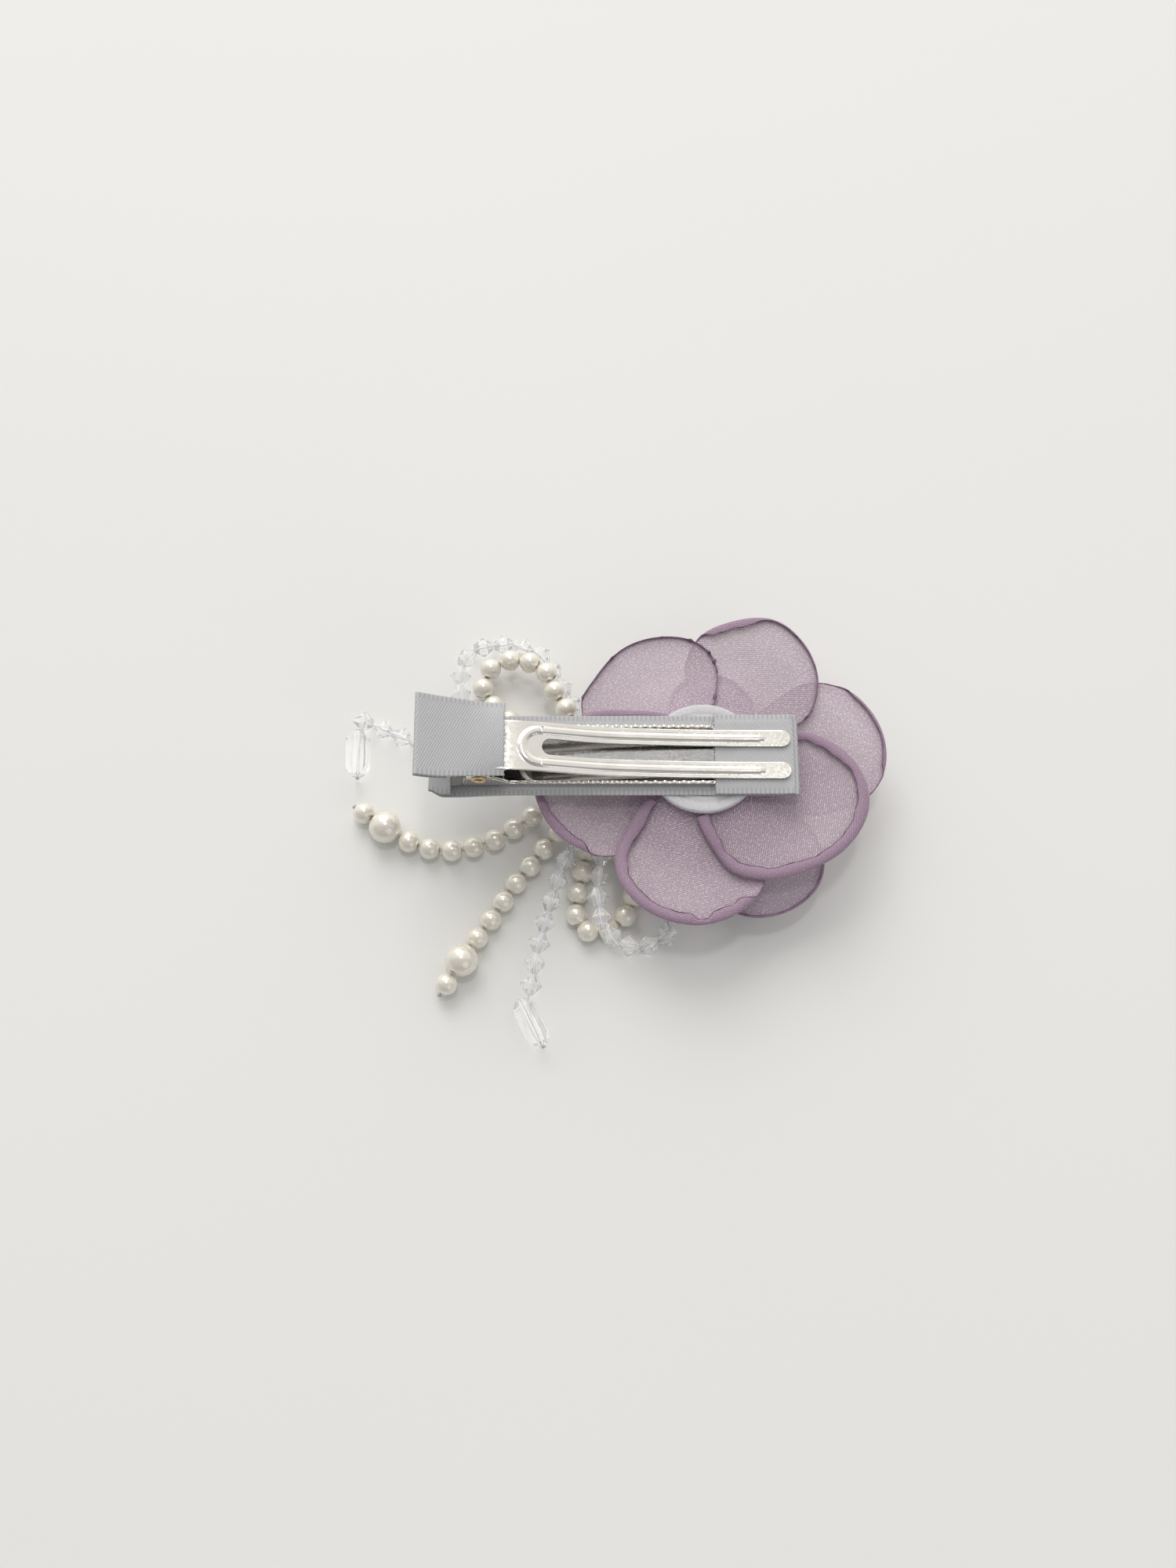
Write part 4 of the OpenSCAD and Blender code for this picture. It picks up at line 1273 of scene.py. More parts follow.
# --------------------------------------------------------------------------------------------------
# Sprung clip
# --------------------------------------------------------------------------------------------------
@dataclass
class ClipMetal:
    """The pressed metal clip: channel-shaped base, two-pronged arm, pivot bosses and coil spring."""

    layout: Layout
    jaw_len: float = 55.4
    handle_len: float = 10.2
    base_w: float = 11.0
    prong_w: float = 9.0
    slot_w: float = 3.0
    slot_start: float = 11.0
    ear_r: float = 2.3
    ear_hole_r: float = 1.1
    boss_r: float = 1.05
    boss_bore_r: float = 0.7
    slope: float = math.tan(math.radians(28))
    lower_handle_len: float = 8.6
    handle_drop: float = 0.8
    flange_start: float = 6.5
    tooth_pitch: float = 1.7
    coil_turns: int = 5
    coil_r: float = 1.35
    coil_len: float = 7.0
    wire_d: float = 0.5

    def __post_init__(self) -> None:
        """Work out the arm's side curve once."""
        hz = self.layout.hinge_z
        self.tip_z = self.layout.base_top + 0.37
        tip = self.tip_z
        length = self.jaw_len
        self.face = [
            (-self.handle_len, hz + 2 + (self.handle_len - 1) * self.slope),
            (-6.0, hz + 2 + 5 * self.slope),
            (-3.0, hz + 2 + 2 * self.slope),
            (-0.5, hz + 2.1),
            (5.5, hz + 2.1),
            (0.21 * length, hz + 1),
            (0.36 * length, tip + 2.1),
            (0.5 * length, tip + 1.15),
            (0.65 * length, tip + 0.5),
            (0.8 * length, tip + 0.1),
            (0.9 * length, tip),
            (length, tip),
        ]
        self.curve = [spline_at(self.face, k / 440) for k in range(441)]

    def arm_z(self, x: float) -> float:
        """Return the height of the arm's lower face at x."""
        for (xa, za), (xb, zb) in zip(self.curve, self.curve[1:]):
            if x <= xb or xb >= self.jaw_len - 1e-6:
                return mix(za, zb, (x - xa) / max(xb - xa, 1e-9))
        return self.curve[-1][1]

    def ridge(self, x: float, y: float) -> float:
        """Return how far the stiffening ridge stands up at a place in plan."""
        mid = (self.slot_w + (self.prong_w - self.slot_w) / 2) / 2
        start = self.slot_start - 3.4 + mid
        stop = self.jaw_len - 5.4
        if x < start:
            off = abs(math.hypot(x - start, y) - mid)
        elif x < stop:
            off = abs(abs(y) - mid)
        else:
            off = math.hypot(x - stop, abs(y) - mid)
        return 0.24 * smooth((0.62 - off) / 0.3)

    def arm_sheet(self) -> bpy.types.Object:
        """Make the two-pronged arm's sheet."""
        half, each = self.prong_w / 2, (self.prong_w - self.slot_w) / 2
        mid = (self.slot_w + each) / 2
        slot_r = self.slot_w / 2
        xs = [mix(-self.handle_len, self.slot_start - 0.5, k / 76) for k in range(77)]
        xs += [self.slot_start - 0.5 + 0.1 * k for k in range(1, 5)]
        xs += [self.slot_start + slot_r * (1 - math.cos(math.pi / 2 * k / 12)) for k in range(0, 13)]
        first = self.slot_start + slot_r
        last = self.jaw_len - each / 2
        xs += [mix(first, last, k / 150) for k in range(1, 151)]
        xs += [last + each / 2 * math.sin(math.pi / 2 * k / 10) for k in range(1, 11)]
        rows = 20
        parts = []
        for side in (1, -1):
            points: list[Vector] = []
            for x in xs:
                if x <= self.slot_start:
                    inner = 0.0
                elif x < first:
                    inner = math.sqrt(max(0.0, slot_r**2 - (first - x) ** 2))
                else:
                    inner = slot_r
                outer = half
                if x > last:
                    reach = math.sqrt(max(0.0004, (each / 2) ** 2 - (x - last) ** 2))
                    inner, outer = mid - reach, mid + reach
                for r in range(rows + 1):
                    y = mix(inner, outer, r / rows)
                    points.append(self.layout.row(x, side * y, self.arm_z(x) + self.ridge(x, y)))
            faces = Maker.grid_faces(len(xs), rows + 1)
            if side < 0:
                faces = [tuple(reversed(f)) for f in faces]
            parts.append(Maker.from_lists(f"arm_half_{side}", points, faces))
        arm = Maker.weld(Maker.join("two_prong_arm", parts))
        self.face_up(arm)
        return Maker.sheet_metal(arm, SHEET_T, 1.0, 0.1)

    @staticmethod
    def face_up(obj: bpy.types.Object) -> None:
        """Turn a surface's faces over if they look down."""
        total = sum((p.normal.z * p.area for p in obj.data.polygons), 0.0)
        if total < 0:
            obj.data.flip_normals()

    @staticmethod
    def reach_in(corners: Sequence[Flat], angle: float) -> float:
        """Return how far a ray from the origin runs inside a convex outline that touches the origin."""
        dx, dz = math.cos(angle), math.sin(angle)
        near, far = 0.0, 1e9
        count = len(corners)
        area = sum(
            corners[k][0] * corners[(k + 1) % count][1] - corners[(k + 1) % count][0] * corners[k][1]
            for k in range(count)
        )
        turn = 1 if area > 0 else -1
        for k in range(count):
            (ax, az), (bx, bz) = corners[k], corners[(k + 1) % count]
            nx, nz = turn * -(bz - az), turn * (bx - ax)
            gap, pace = nx * -ax + nz * -az, nx * dx + nz * dz
            if abs(pace) < 1e-9:
                if gap < -1e-6:
                    return 0.0
            elif pace > 0:
                near = max(near, -gap / pace)
            else:
                far = min(far, -gap / pace)
        return far if far > near and near < 1e-3 else 0.0

    def ear(self, name: str, y: float, hole: float, disc: float, web: Sequence[Flat]) -> bpy.types.Object:
        """Make one upright ear with a round hole on the hinge axis.

        Args:
            name: the object's name.
            y: the middle of the ear's sheet.
            hole: radius of the hole.
            disc: radius of the ear's round part.
            web: corners, from the hinge, of the part that joins the ear to its sheet.

        Returns:
            The ear.
        """
        steps, rings = 96, 6
        points = []
        for r in range(rings + 1):
            for k in range(steps):
                a = math.tau * k / steps
                reach = mix(hole, max(disc, self.reach_in(web, a)), r / rings)
                points.append(
                    self.layout.row(reach * math.cos(a), y, self.layout.hinge_z + reach * math.sin(a))
                )
        ear = Maker.from_lists(name, points, Maker.grid_faces(rings + 1, steps, True))
        return Maker.sheet_metal(ear, SHEET_T, 0.0, 0.08)

    def boss(self, side: int) -> bpy.types.Object:
        """Make one hollow pivot boss with its rim turned over outside the base's ear."""
        inner, outer = self.prong_w / 2 - SHEET_T, self.base_w / 2 + 0.4
        r, bore = self.boss_r, self.boss_bore_r
        outline = [
            (bore, inner), (r, inner), (r, self.base_w / 2 + 0.01),
            (r + 0.24, self.base_w / 2 + 0.04), (r + 0.34, outer - 0.12), (r + 0.26, outer - 0.02),
            (r + 0.05, outer), (bore + 0.06, outer - 0.08), (bore, outer - 0.3),
        ]  # fmt: skip
        points, faces = Maker.lathe_lists(outline, 40, True)
        placed = [
            self.layout.row(p.x, side * p.z, self.layout.hinge_z + p.y) for p in points
        ]
        return Maker.weld(Maker.from_lists(f"pivot_boss_{'n' if side > 0 else 's'}", placed, faces))

    def arm(self) -> None:
        """Build the two-pronged arm with its ears and pivot bosses."""
        web = [(-1.8, 0.0), (2.0, 0.0), (5.5, 2.25), (-1.8, 2.45)]
        y = (self.prong_w - SHEET_T) / 2
        parts = [self.arm_sheet()]
        for side in (1, -1):
            parts.append(self.ear(f"arm_ear_{side}", side * y, self.boss_bore_r, self.ear_r - 0.3, web))
        whole = Maker.join("two_prong_arm", parts)
        STEEL.dress(whole)
        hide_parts("prong_arm")
        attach(whole, "prong_lever")
        for side in (1, -1):
            boss = self.boss(side)
            BRONZE.dress(boss)
            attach(boss, "prong_lever")
        LOG.info("two_prong_arm: %d corners", len(whole.data.vertices))

    def floor_z(self, x: float) -> float:
        """Return the height of the base sheet's lower face at x."""
        low = self.layout.base_low
        if x >= -3:
            return low
        return low - self.handle_drop * (-3 - x) / (self.lower_handle_len - 3)

    def base_plate(self) -> bpy.types.Object:
        """Make the base's flat floor."""
        tip_r = 2.5
        last = self.jaw_len - tip_r
        xs = [mix(-self.lower_handle_len, last, k / 130) for k in range(131)]
        xs += [last + tip_r * math.sin(math.pi / 2 * k / 12) for k in range(1, 13)]
        rows = 16
        points = []
        for x in xs:
            plain_edge = x < self.flange_start - 3 or x > self.flange_end()
            half = self.base_w / 2 if plain_edge else self.base_w / 2 - 0.3
            if x > last:
                half = self.base_w / 2 - tip_r + math.sqrt(max(0.0, tip_r**2 - (x - last) ** 2))
            for r in range(rows + 1):
                points.append(self.layout.row(x, half * (2 * r / rows - 1), self.floor_z(x)))
        plate = Maker.from_lists("base_plate", points, Maker.grid_faces(len(xs), rows + 1))
        self.face_up(plate)
        return Maker.sheet_metal(plate, SHEET_T, 1.0, 0.1)

    def flange_end(self) -> float:
        """Return where the toothed flange stops."""
        return self.jaw_len - 13.5 - 0.2

    def flange(self, side: int) -> bpy.types.Object:
        """Make one toothed flange, bent up from the floor."""
        stop = self.flange_end()
        steps = int((stop - 3.0) / (self.tooth_pitch / 8))
        rise = 8
        mid = self.base_w / 2 - SHEET_T / 2
        points = []
        for k in range(steps + 1):
            x = mix(3.0, stop, k / steps)
            wave = abs(((x - self.flange_start) / self.tooth_pitch) % 1.0 - 0.5) * 2
            top = self.layout.base_top + 0.72 + 0.55 * (1 - wave)
            if x < self.flange_start:
                top = self.layout.base_top + mix(2.2, 0.72, smooth((x - 3.0) / 2.4))
            top = mix(top, self.layout.base_top - 0.1, smooth((x - stop + 0.7) / 0.7))
            for r in range(rise + 1):
                t = r / rise
                if t < 0.5:
                    a = math.pi / 2 * t / 0.5
                    y = mid - 0.6 + 0.6 * math.sin(a)
                    z = self.layout.base_low + SHEET_T / 2 + 0.6 * (1 - math.cos(a))
                else:
                    y = mid
                    foot = self.layout.base_low + SHEET_T / 2 + 0.6
                    z = mix(foot, max(top, self.layout.base_low + 0.95), (t - 0.5) / 0.5)
                points.append(self.layout.row(x, side * y, z))
        strip = Maker.from_lists(f"flange_{side}", points, Maker.grid_faces(steps + 1, rise + 1))
        return Maker.sheet_metal(strip, SHEET_T - 0.04, 0.0, 0.07)

    def base(self) -> None:
        """Build the channel-shaped base with its toothed flanges and ears."""
        web = [(-2.9, -3.55), (5.5, -3.55), (5.5, -2.5), (2.3, 0.0), (-2.3, 0.0)]
        y = (self.base_w - SHEET_T) / 2
        parts = [self.base_plate()]
        # The floor takes the darker steel, which paints the trough's shade.
        TROUGH_SHADE_STEEL.dress(parts[0])
        for side in (1, -1):
            ear = self.ear(f"base_ear_{side}", side * y, self.ear_hole_r, self.ear_r, web)
            walls = [self.flange(side), ear]
            STEEL.dress(*walls)
            parts += walls
        whole = Maker.join("toothed_base", parts)
        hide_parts("base_arm")
        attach(whole, "clip_base")
        LOG.info("toothed_base: %d corners", len(whole.data.vertices))

    def spring(self) -> None:
        """Wind the coil spring between the ears, one leg on each arm."""
        hz, half, leg = self.layout.hinge_z, self.coil_len / 2, -4.5
        steps = self.coil_turns * 12 + 6
        spots: list[Point] = [
            (leg, -half, self.layout.base_top + 0.35),
            (leg / 2, -half, hz - self.coil_r - 0.75),
        ]
        for i in range(steps + 1):
            a = math.radians(270 + 30 * i)
            spots.append(
                (self.coil_r * math.cos(a), self.coil_len * (i / steps - 0.5), hz + self.coil_r * math.sin(a))
            )
        spots += [(leg / 2, half, hz + self.coil_r + 0.6), (leg, half, hz + 3.4)]
        path = [self.layout.row_of(spline_at(spots, k / 520)) for k in range(521)]
        coil = Maker.tube("coil_spring", path, self.wire_d / 2 * MM, 12)
        BRONZE.dress(coil)
        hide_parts("hinge_spring")
        tuple(self.layout.row(0, -half, hz))
        tuple(self.layout.row(0, half, hz))
        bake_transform(coil)
        LOG.info("coil_spring: %d turns", self.coil_turns)

    def build(self) -> None:
        """Build the base, the arm and the spring."""
        self.base()
        self.arm()
        self.spring()


# --------------------------------------------------------------------------------------------------
# Ribbon and felt
# --------------------------------------------------------------------------------------------------
@dataclass
class RibbonWrap:
    """The grey ribbon: one strip round the base and its tip, one round the upper handle."""

    layout: Layout
    metal: ClipMetal
    width: float = 15.0
    thick: float = 0.3
    drawn_thick: float = 0.24
    pad_len: float = 13.5
    gap: float = 0.02
    lower_y: float = 0.3
    upper_y: float = 0.7
    loose_threads: int = 46

    @staticmethod
    def fold(x: float, z: float, r: float, start: float, stop: float, steps: int = 6) -> list[Flat]:
        """Return places round a fold of radius r, from one angle to another in degrees."""
        out = []
        for k in range(steps + 1):
            a = math.radians(mix(start, stop, k / steps))
            out.append((x + r * math.cos(a), z + r * math.sin(a)))
        return out

    def lower_face(self) -> list[Flat]:
        """Return the lower strip's inner face in x and z, from the pad's cut end."""
        jaw, handle = self.metal.jaw_len, self.metal.lower_handle_len
        low, top = self.layout.base_low, self.layout.base_top
        turn = SHEET_T / 2 + self.gap
        face = [(jaw - self.pad_len, top + self.gap), (jaw - 0.6 * self.pad_len, top + self.gap)]
        face += [(jaw - 0.15 * self.pad_len, top + self.gap)]
        face += self.fold(jaw + 0.3, low + SHEET_T / 2, turn, 90, -90)
        face += [(0.75 * jaw, low - self.gap), (0.5 * jaw, low - self.gap), (0.3 * jaw, low - self.gap)]
        face += [(9, low - self.gap), (5, low - 0.12), (1, low - 0.55), (-3, low - 1.1), (-6, low - 1.25)]
        handle_z = low - self.metal.handle_drop + SHEET_T / 2 - 0.05
        face += self.fold(-handle - 0.15, handle_z, turn + 0.05, 270, 90)
        face += [(-5.2, top - 0.25 + self.gap)]
        return face

    def upper_face(self) -> list[Flat]:
        """Return the upper strip's inner face in x and z, from its cut end over the hinge."""
        face, slope, handle = self.metal.face, self.metal.slope, self.metal.handle_len
        tall = SHEET_T * math.sqrt(1 + slope**2)
        end_z = face[0][1]
        return [
            (4.5, face[4][1] + SHEET_T + 0.35 + self.gap),
            (2.0, face[4][1] + SHEET_T + 0.45 + self.gap),
            (-1.0, face[3][1] + SHEET_T + 0.95 + self.gap),
            (-3.0, face[2][1] + tall + 0.55 + self.gap),
            (-6.0, face[1][1] + tall + 0.12 + self.gap),
            (-handle, end_z + tall + self.gap),
            (-handle - 0.32, end_z + SHEET_T + 0.05),
            (-handle - 0.36, end_z + 0.1),
            (-handle, end_z - 0.03),
            (-6.0, face[1][1] - self.gap),
            (-5.2, face[1][1] - self.gap - 0.8 * slope),
        ]

    def strip(
        self,
        name: str,
        face: list[Flat],
        middle_y: float,
        outward: float,
        droop: Callable[[float, float, float], float],
        fit: Callable[[float], Flat],
    ) -> tuple[bpy.types.Object, float]:
        """Sweep a ribbon along its inner face.

        Args:
            name: the piece's name.
            face: the inner face in x and z.
            middle_y: the ribbon's middle.
            outward: 1 or -1, the side of the face that the cloth lies on.
            droop: extra height for a share along the run, an x and an offset from the middle.
            fit: share of the full width and sideways shift at an x.

        Returns:
            The ribbon and its length in millimetres.
        """
        run = even_run([(x, 0.0, z) for x, z in face], 0.3, 30)
        length = run_length(run)
        cols = 60
        points, lay = [], []
        walked = 0.0
        for i, p in enumerate(run):
            a, b = run[max(i - 1, 0)], run[min(i + 1, len(run) - 1)]
            if i:
                walked += (p - run[i - 1]).length
            away = (b - a).normalized()
            side = Vector((-away.z, 0.0, away.x)) * outward
            share = i / (len(run) - 1)
            for c in range(cols + 1):
                across = self.width * c / cols
                y = across - self.width / 2
                edge = smooth((abs(y) - self.width / 2 + 0.3) / 0.3)
                rib = 0.03 * edge * math.sin(math.tau * walked / SELVEDGE_PITCH)
                ripple = 0.045 * noise.noise(Vector((walked * 0.22, y * 0.3, 3.0 + middle_y)))
                q = p + side * (self.thick / 2 + abs(ripple) * 0.5)
                wide, shift = fit(p.x)
                sideways = y * wide + shift + middle_y + rib * math.copysign(1, y)
                points.append(self.layout.row(q.x, sideways, q.z + droop(share, p.x, y)))
                lay.append((across, walked))
        obj = Maker.from_lists(name, points, Maker.grid_faces(len(run), cols + 1), lay)
        solid = obj.modifiers.new("cloth", "SOLIDIFY")
        solid.thickness = self.drawn_thick * MM
        solid.offset = 0.0
        Maker.apply_all(obj)
        return obj, length

    def fray(
        self, name: str, x: float, z: float, middle_y: float, toward: float, lift: float
    ) -> bpy.types.Object:
        """Make the loose threads along a cut ribbon end."""
        rng = random.Random(f"{SEED}{name}")
        points: list[Vector] = []
        faces: list[tuple[int, ...]] = []
        for k in range(self.loose_threads):
            y = middle_y + self.width * ((k + rng.random()) / self.loose_threads - 0.5) * 0.985
            reach = rng.uniform(0.15, 0.55) * toward
            sway = rng.uniform(-0.25, 0.25)
            path = [
                self.layout.row(x, y, z),
                self.layout.row(x + reach * 0.5, y + sway * 0.3, z + lift * rng.uniform(0.0, 0.06)),
                self.layout.row(x + reach, y + sway, z + lift * rng.uniform(0.0, 0.1)),
            ]
            new_points, new_faces = Maker.tube_lists(path, rng.uniform(0.03, 0.055) * MM, 5, len(points))
            points += new_points
            faces += new_faces
        return Maker.from_lists(name, points, faces)

    def lower_droop(self, share: float, x: float, y: float) -> float:
        """Return how the lower strip leaves its flat face at a place."""
        out = smooth((abs(y) - 5.6) / 1.9)
        pad = x > self.metal.jaw_len - self.pad_len - 0.1 and share < 0.3
        if pad:
            settle = smooth((x - self.metal.jaw_len + self.pad_len) / 1.5)
            near = smooth((self.metal.jaw_len + 0.4 - x) / 2.0)
            ripple = 0.07 * noise.noise(Vector((x * 0.35, y * 0.4, 7.0)))
            return near * (ripple + 0.1 * (1 - settle) - 0.22 * out)
        return 0.06 * out * noise.noise(Vector((x * 0.25, math.copysign(5.0, y), 1.0)))

    def upper_droop(self, share: float, x: float, y: float) -> float:
        """Return how the upper strip leaves its flat face at a place."""
        out = smooth((abs(y) - 4.6) / 2.9)
        tuck = 0.9 * (y / 7.5) ** 2 * smooth((x + 9.0) / 11.0)
        return -(0.18 * out + tuck) * smooth(1 - share * 2.2) * smooth((x + 9.0) / 3.0)

    @staticmethod
    def lower_fit(x: float) -> Flat:
        """Return the lower strip's share of full width and its sideways shift at x."""
        return 1 - 0.13 * smooth((-6.0 - x) / 3.0) ** 2, 0.0

    @staticmethod
    def upper_fit(x: float) -> Flat:
        """Return the upper strip's share of full width and its sideways shift at x."""
        along = smooth((x + 10.2) / 14.7)
        return 1 - 0.1 * along, mix(-0.35, 0.45, along)

    def build(self) -> None:
        """Build both strips and their frayed ends, dress them and hang them on their bodies."""
        jaw = self.metal.jaw_len
        low, low_len = self.strip(
            "lower_ribbon", self.lower_face(), self.lower_y, 1.0, self.lower_droop, self.lower_fit
        )
        self.finish_strip(low, "ribbon_lower", "clip_base")
        pad_x, pad_z = jaw - self.pad_len + 0.1, self.layout.base_top + 0.26
        ends = [("pad_fray", pad_x, pad_z, self.lower_y, -1.0, 1.0, "clip_base")]
        high, high_len = self.strip(
            "upper_ribbon", self.upper_face(), self.upper_y, -1.0, self.upper_droop, self.upper_fit
        )
        self.finish_strip(high, "ribbon_upper", "prong_lever")
        upper_z = self.metal.face[4][1] + SHEET_T + 0.5
        ends.append(("handle_fray", 4.4, upper_z, self.upper_y, 1.0, -1.0, "prong_lever"))
        for name, x, z, y, toward, lift, body in ends:
            fray = self.fray(name, x, z, y, toward, lift)
            RIBBON_FRAY.dress(fray)
            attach(fray, body)
        LOG.info("ribbon: %.0f mm and %.0f mm of %g mm ribbon", low_len, high_len, self.width)

    def finish_strip(self, obj: bpy.types.Object, node: str, body: str) -> None:
        """Dress one strip and hang it on its body."""
        RIBBON.dress(obj)
        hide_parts(node)
        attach(obj, body)


@dataclass
class FeltBacking:
    """The white felt disc between the clip and the petals."""

    layout: Layout
    radius: float = 10.25
    rings: Flat = (6.9, 8.3)

    def build(self) -> None:
        """Build the disc with its pressed ring and loose fibres."""
        low, high = self.layout.felt_low, self.layout.felt_high
        steps = 168
        outline: list[Flat] = [(0.0, high - 0.02)]
        outline += [(0.35 * k, high - 0.03) for k in range(1, 28)]
        outline += [(9.9, high - 0.05), (10.12, high - 0.14), (10.25, high - 0.4), (10.27, high - 0.8)]
        outline += [(10.22, low + 0.35), (10.05, low + 0.1), (9.7, low + 0.03)]
        outline += [(9.7 - 0.97 * k, low + 0.02) for k in range(1, 11)]
        points = []
        for r, z in outline:
            for k in range(steps):
                a = math.tau * k / steps
                x, y = r * math.cos(a), r * math.sin(a)
                fuzz = 0.055 * noise.noise(Vector((x * 1.6, y * 1.6, z)))
                press = -0.22 * max(smooth(1 - abs(r - ring) / 0.55) for ring in self.rings)
                swell = 0.02 * math.cos(9 * a) + 0.05 * noise.noise(Vector((a * 3.0, 4.0, z)))
                grow = 1 + (swell / self.radius if r > 9.6 else 0.0)
                top = z > (low + high) / 2
                points.append(
                    self.layout.row(
                        self.layout.flower_x + x * grow,
                        self.layout.flower_y + y * grow,
                        z + (min(0.02, fuzz) + press if top else 0.3 * fuzz + 0.02),
                    )
                )
        disc = Maker.from_lists("felt_backing", points, Maker.grid_faces(len(outline), steps, True))
        disc = Maker.weld(disc, 0.001)
        FELT.dress(disc)
        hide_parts("felt_disc")
        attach(disc, "clip_base")
        fibres = self.fibres(low, high)
        FELT_FUZZ.dress(fibres)
        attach(fibres, "clip_base")
        LOG.info("felt_backing: %.1f mm across", 2 * self.radius)

    def fibres(self, low: float, high: float) -> bpy.types.Object:
        """Make the loose fibres that stand off the felt's face and edge."""
        rng = random.Random(SEED + 5)
        points: list[Vector] = []
        faces: list[tuple[int, ...]] = []
        for k in range(420):
            a = rng.uniform(0, math.tau)
            edge = k % 2 == 0
            r = rng.uniform(9.9, 10.22) if edge else 10.1 * math.sqrt(rng.random())
            z = rng.uniform(low + 0.3, high - 0.1) if edge else high - 0.03
            turn = rng.uniform(0, math.tau)
            reach = rng.uniform(0.25, 0.8)
            path = []
            for step in range(4):
                t = step / 3
                bend = turn + 1.2 * t
                x = r * math.cos(a) + reach * t * (math.cos(a) * 0.3 * edge + math.cos(bend) * 0.6)
                y = r * math.sin(a) + reach * t * (math.sin(a) * 0.3 * edge + math.sin(bend) * 0.6)
                lift = 0.09 * math.sin(math.pi * t) if not edge else 0.12 * t
                path.append(self.layout.row(self.layout.flower_x + x, self.layout.flower_y + y, z + lift))
            new_points, new_faces = Maker.tube_lists(path, 0.014 * MM, 4, len(points))
            points += new_points
            faces += new_faces
        return Maker.from_lists("felt_fibres", points, faces)


# --------------------------------------------------------------------------------------------------
# Petals
# --------------------------------------------------------------------------------------------------
@dataclass(frozen=True)
class RolledRim:
    """How a petal's edge rolls back where no other petal covers it.

    Lengths are in millimetres and angles in degrees. The roll shows from start to stop. Each of the
    marks is a fold or a nick: its middle, its half span, and factors on the roll's width and turn.
    """

    width: float
    rise: float
    turn: float
    start: float
    stop: float
    blobs: float = 0.0
    marks: tuple[tuple[float, float, float, float], ...] = ()

    def at(self, angle: float, wobble: float) -> tuple[float, float, float]:
        """Return the roll's width, rise and turn at an angle round the flower.

        Args:
            angle: the rim's angle in degrees.
            wobble: a factor near 1 that makes the roll uneven.

        Returns:
            Width and rise in millimetres and turn in degrees, with any folds or nicks in them.
        """
        width, rise, turn = self.width * wobble, self.rise * (0.8 + 0.2 * wobble), self.turn
        for middle, span, widen, twist in self.marks:
            near = smooth(1.35 - abs(angle - middle) / span)
            width *= mix(1.0, widen, near)
            rise *= mix(1.0, math.sqrt(widen), near)
            turn *= mix(1.0, twist, near)
        return width, rise, turn * (0.88 + 0.12 * wobble)


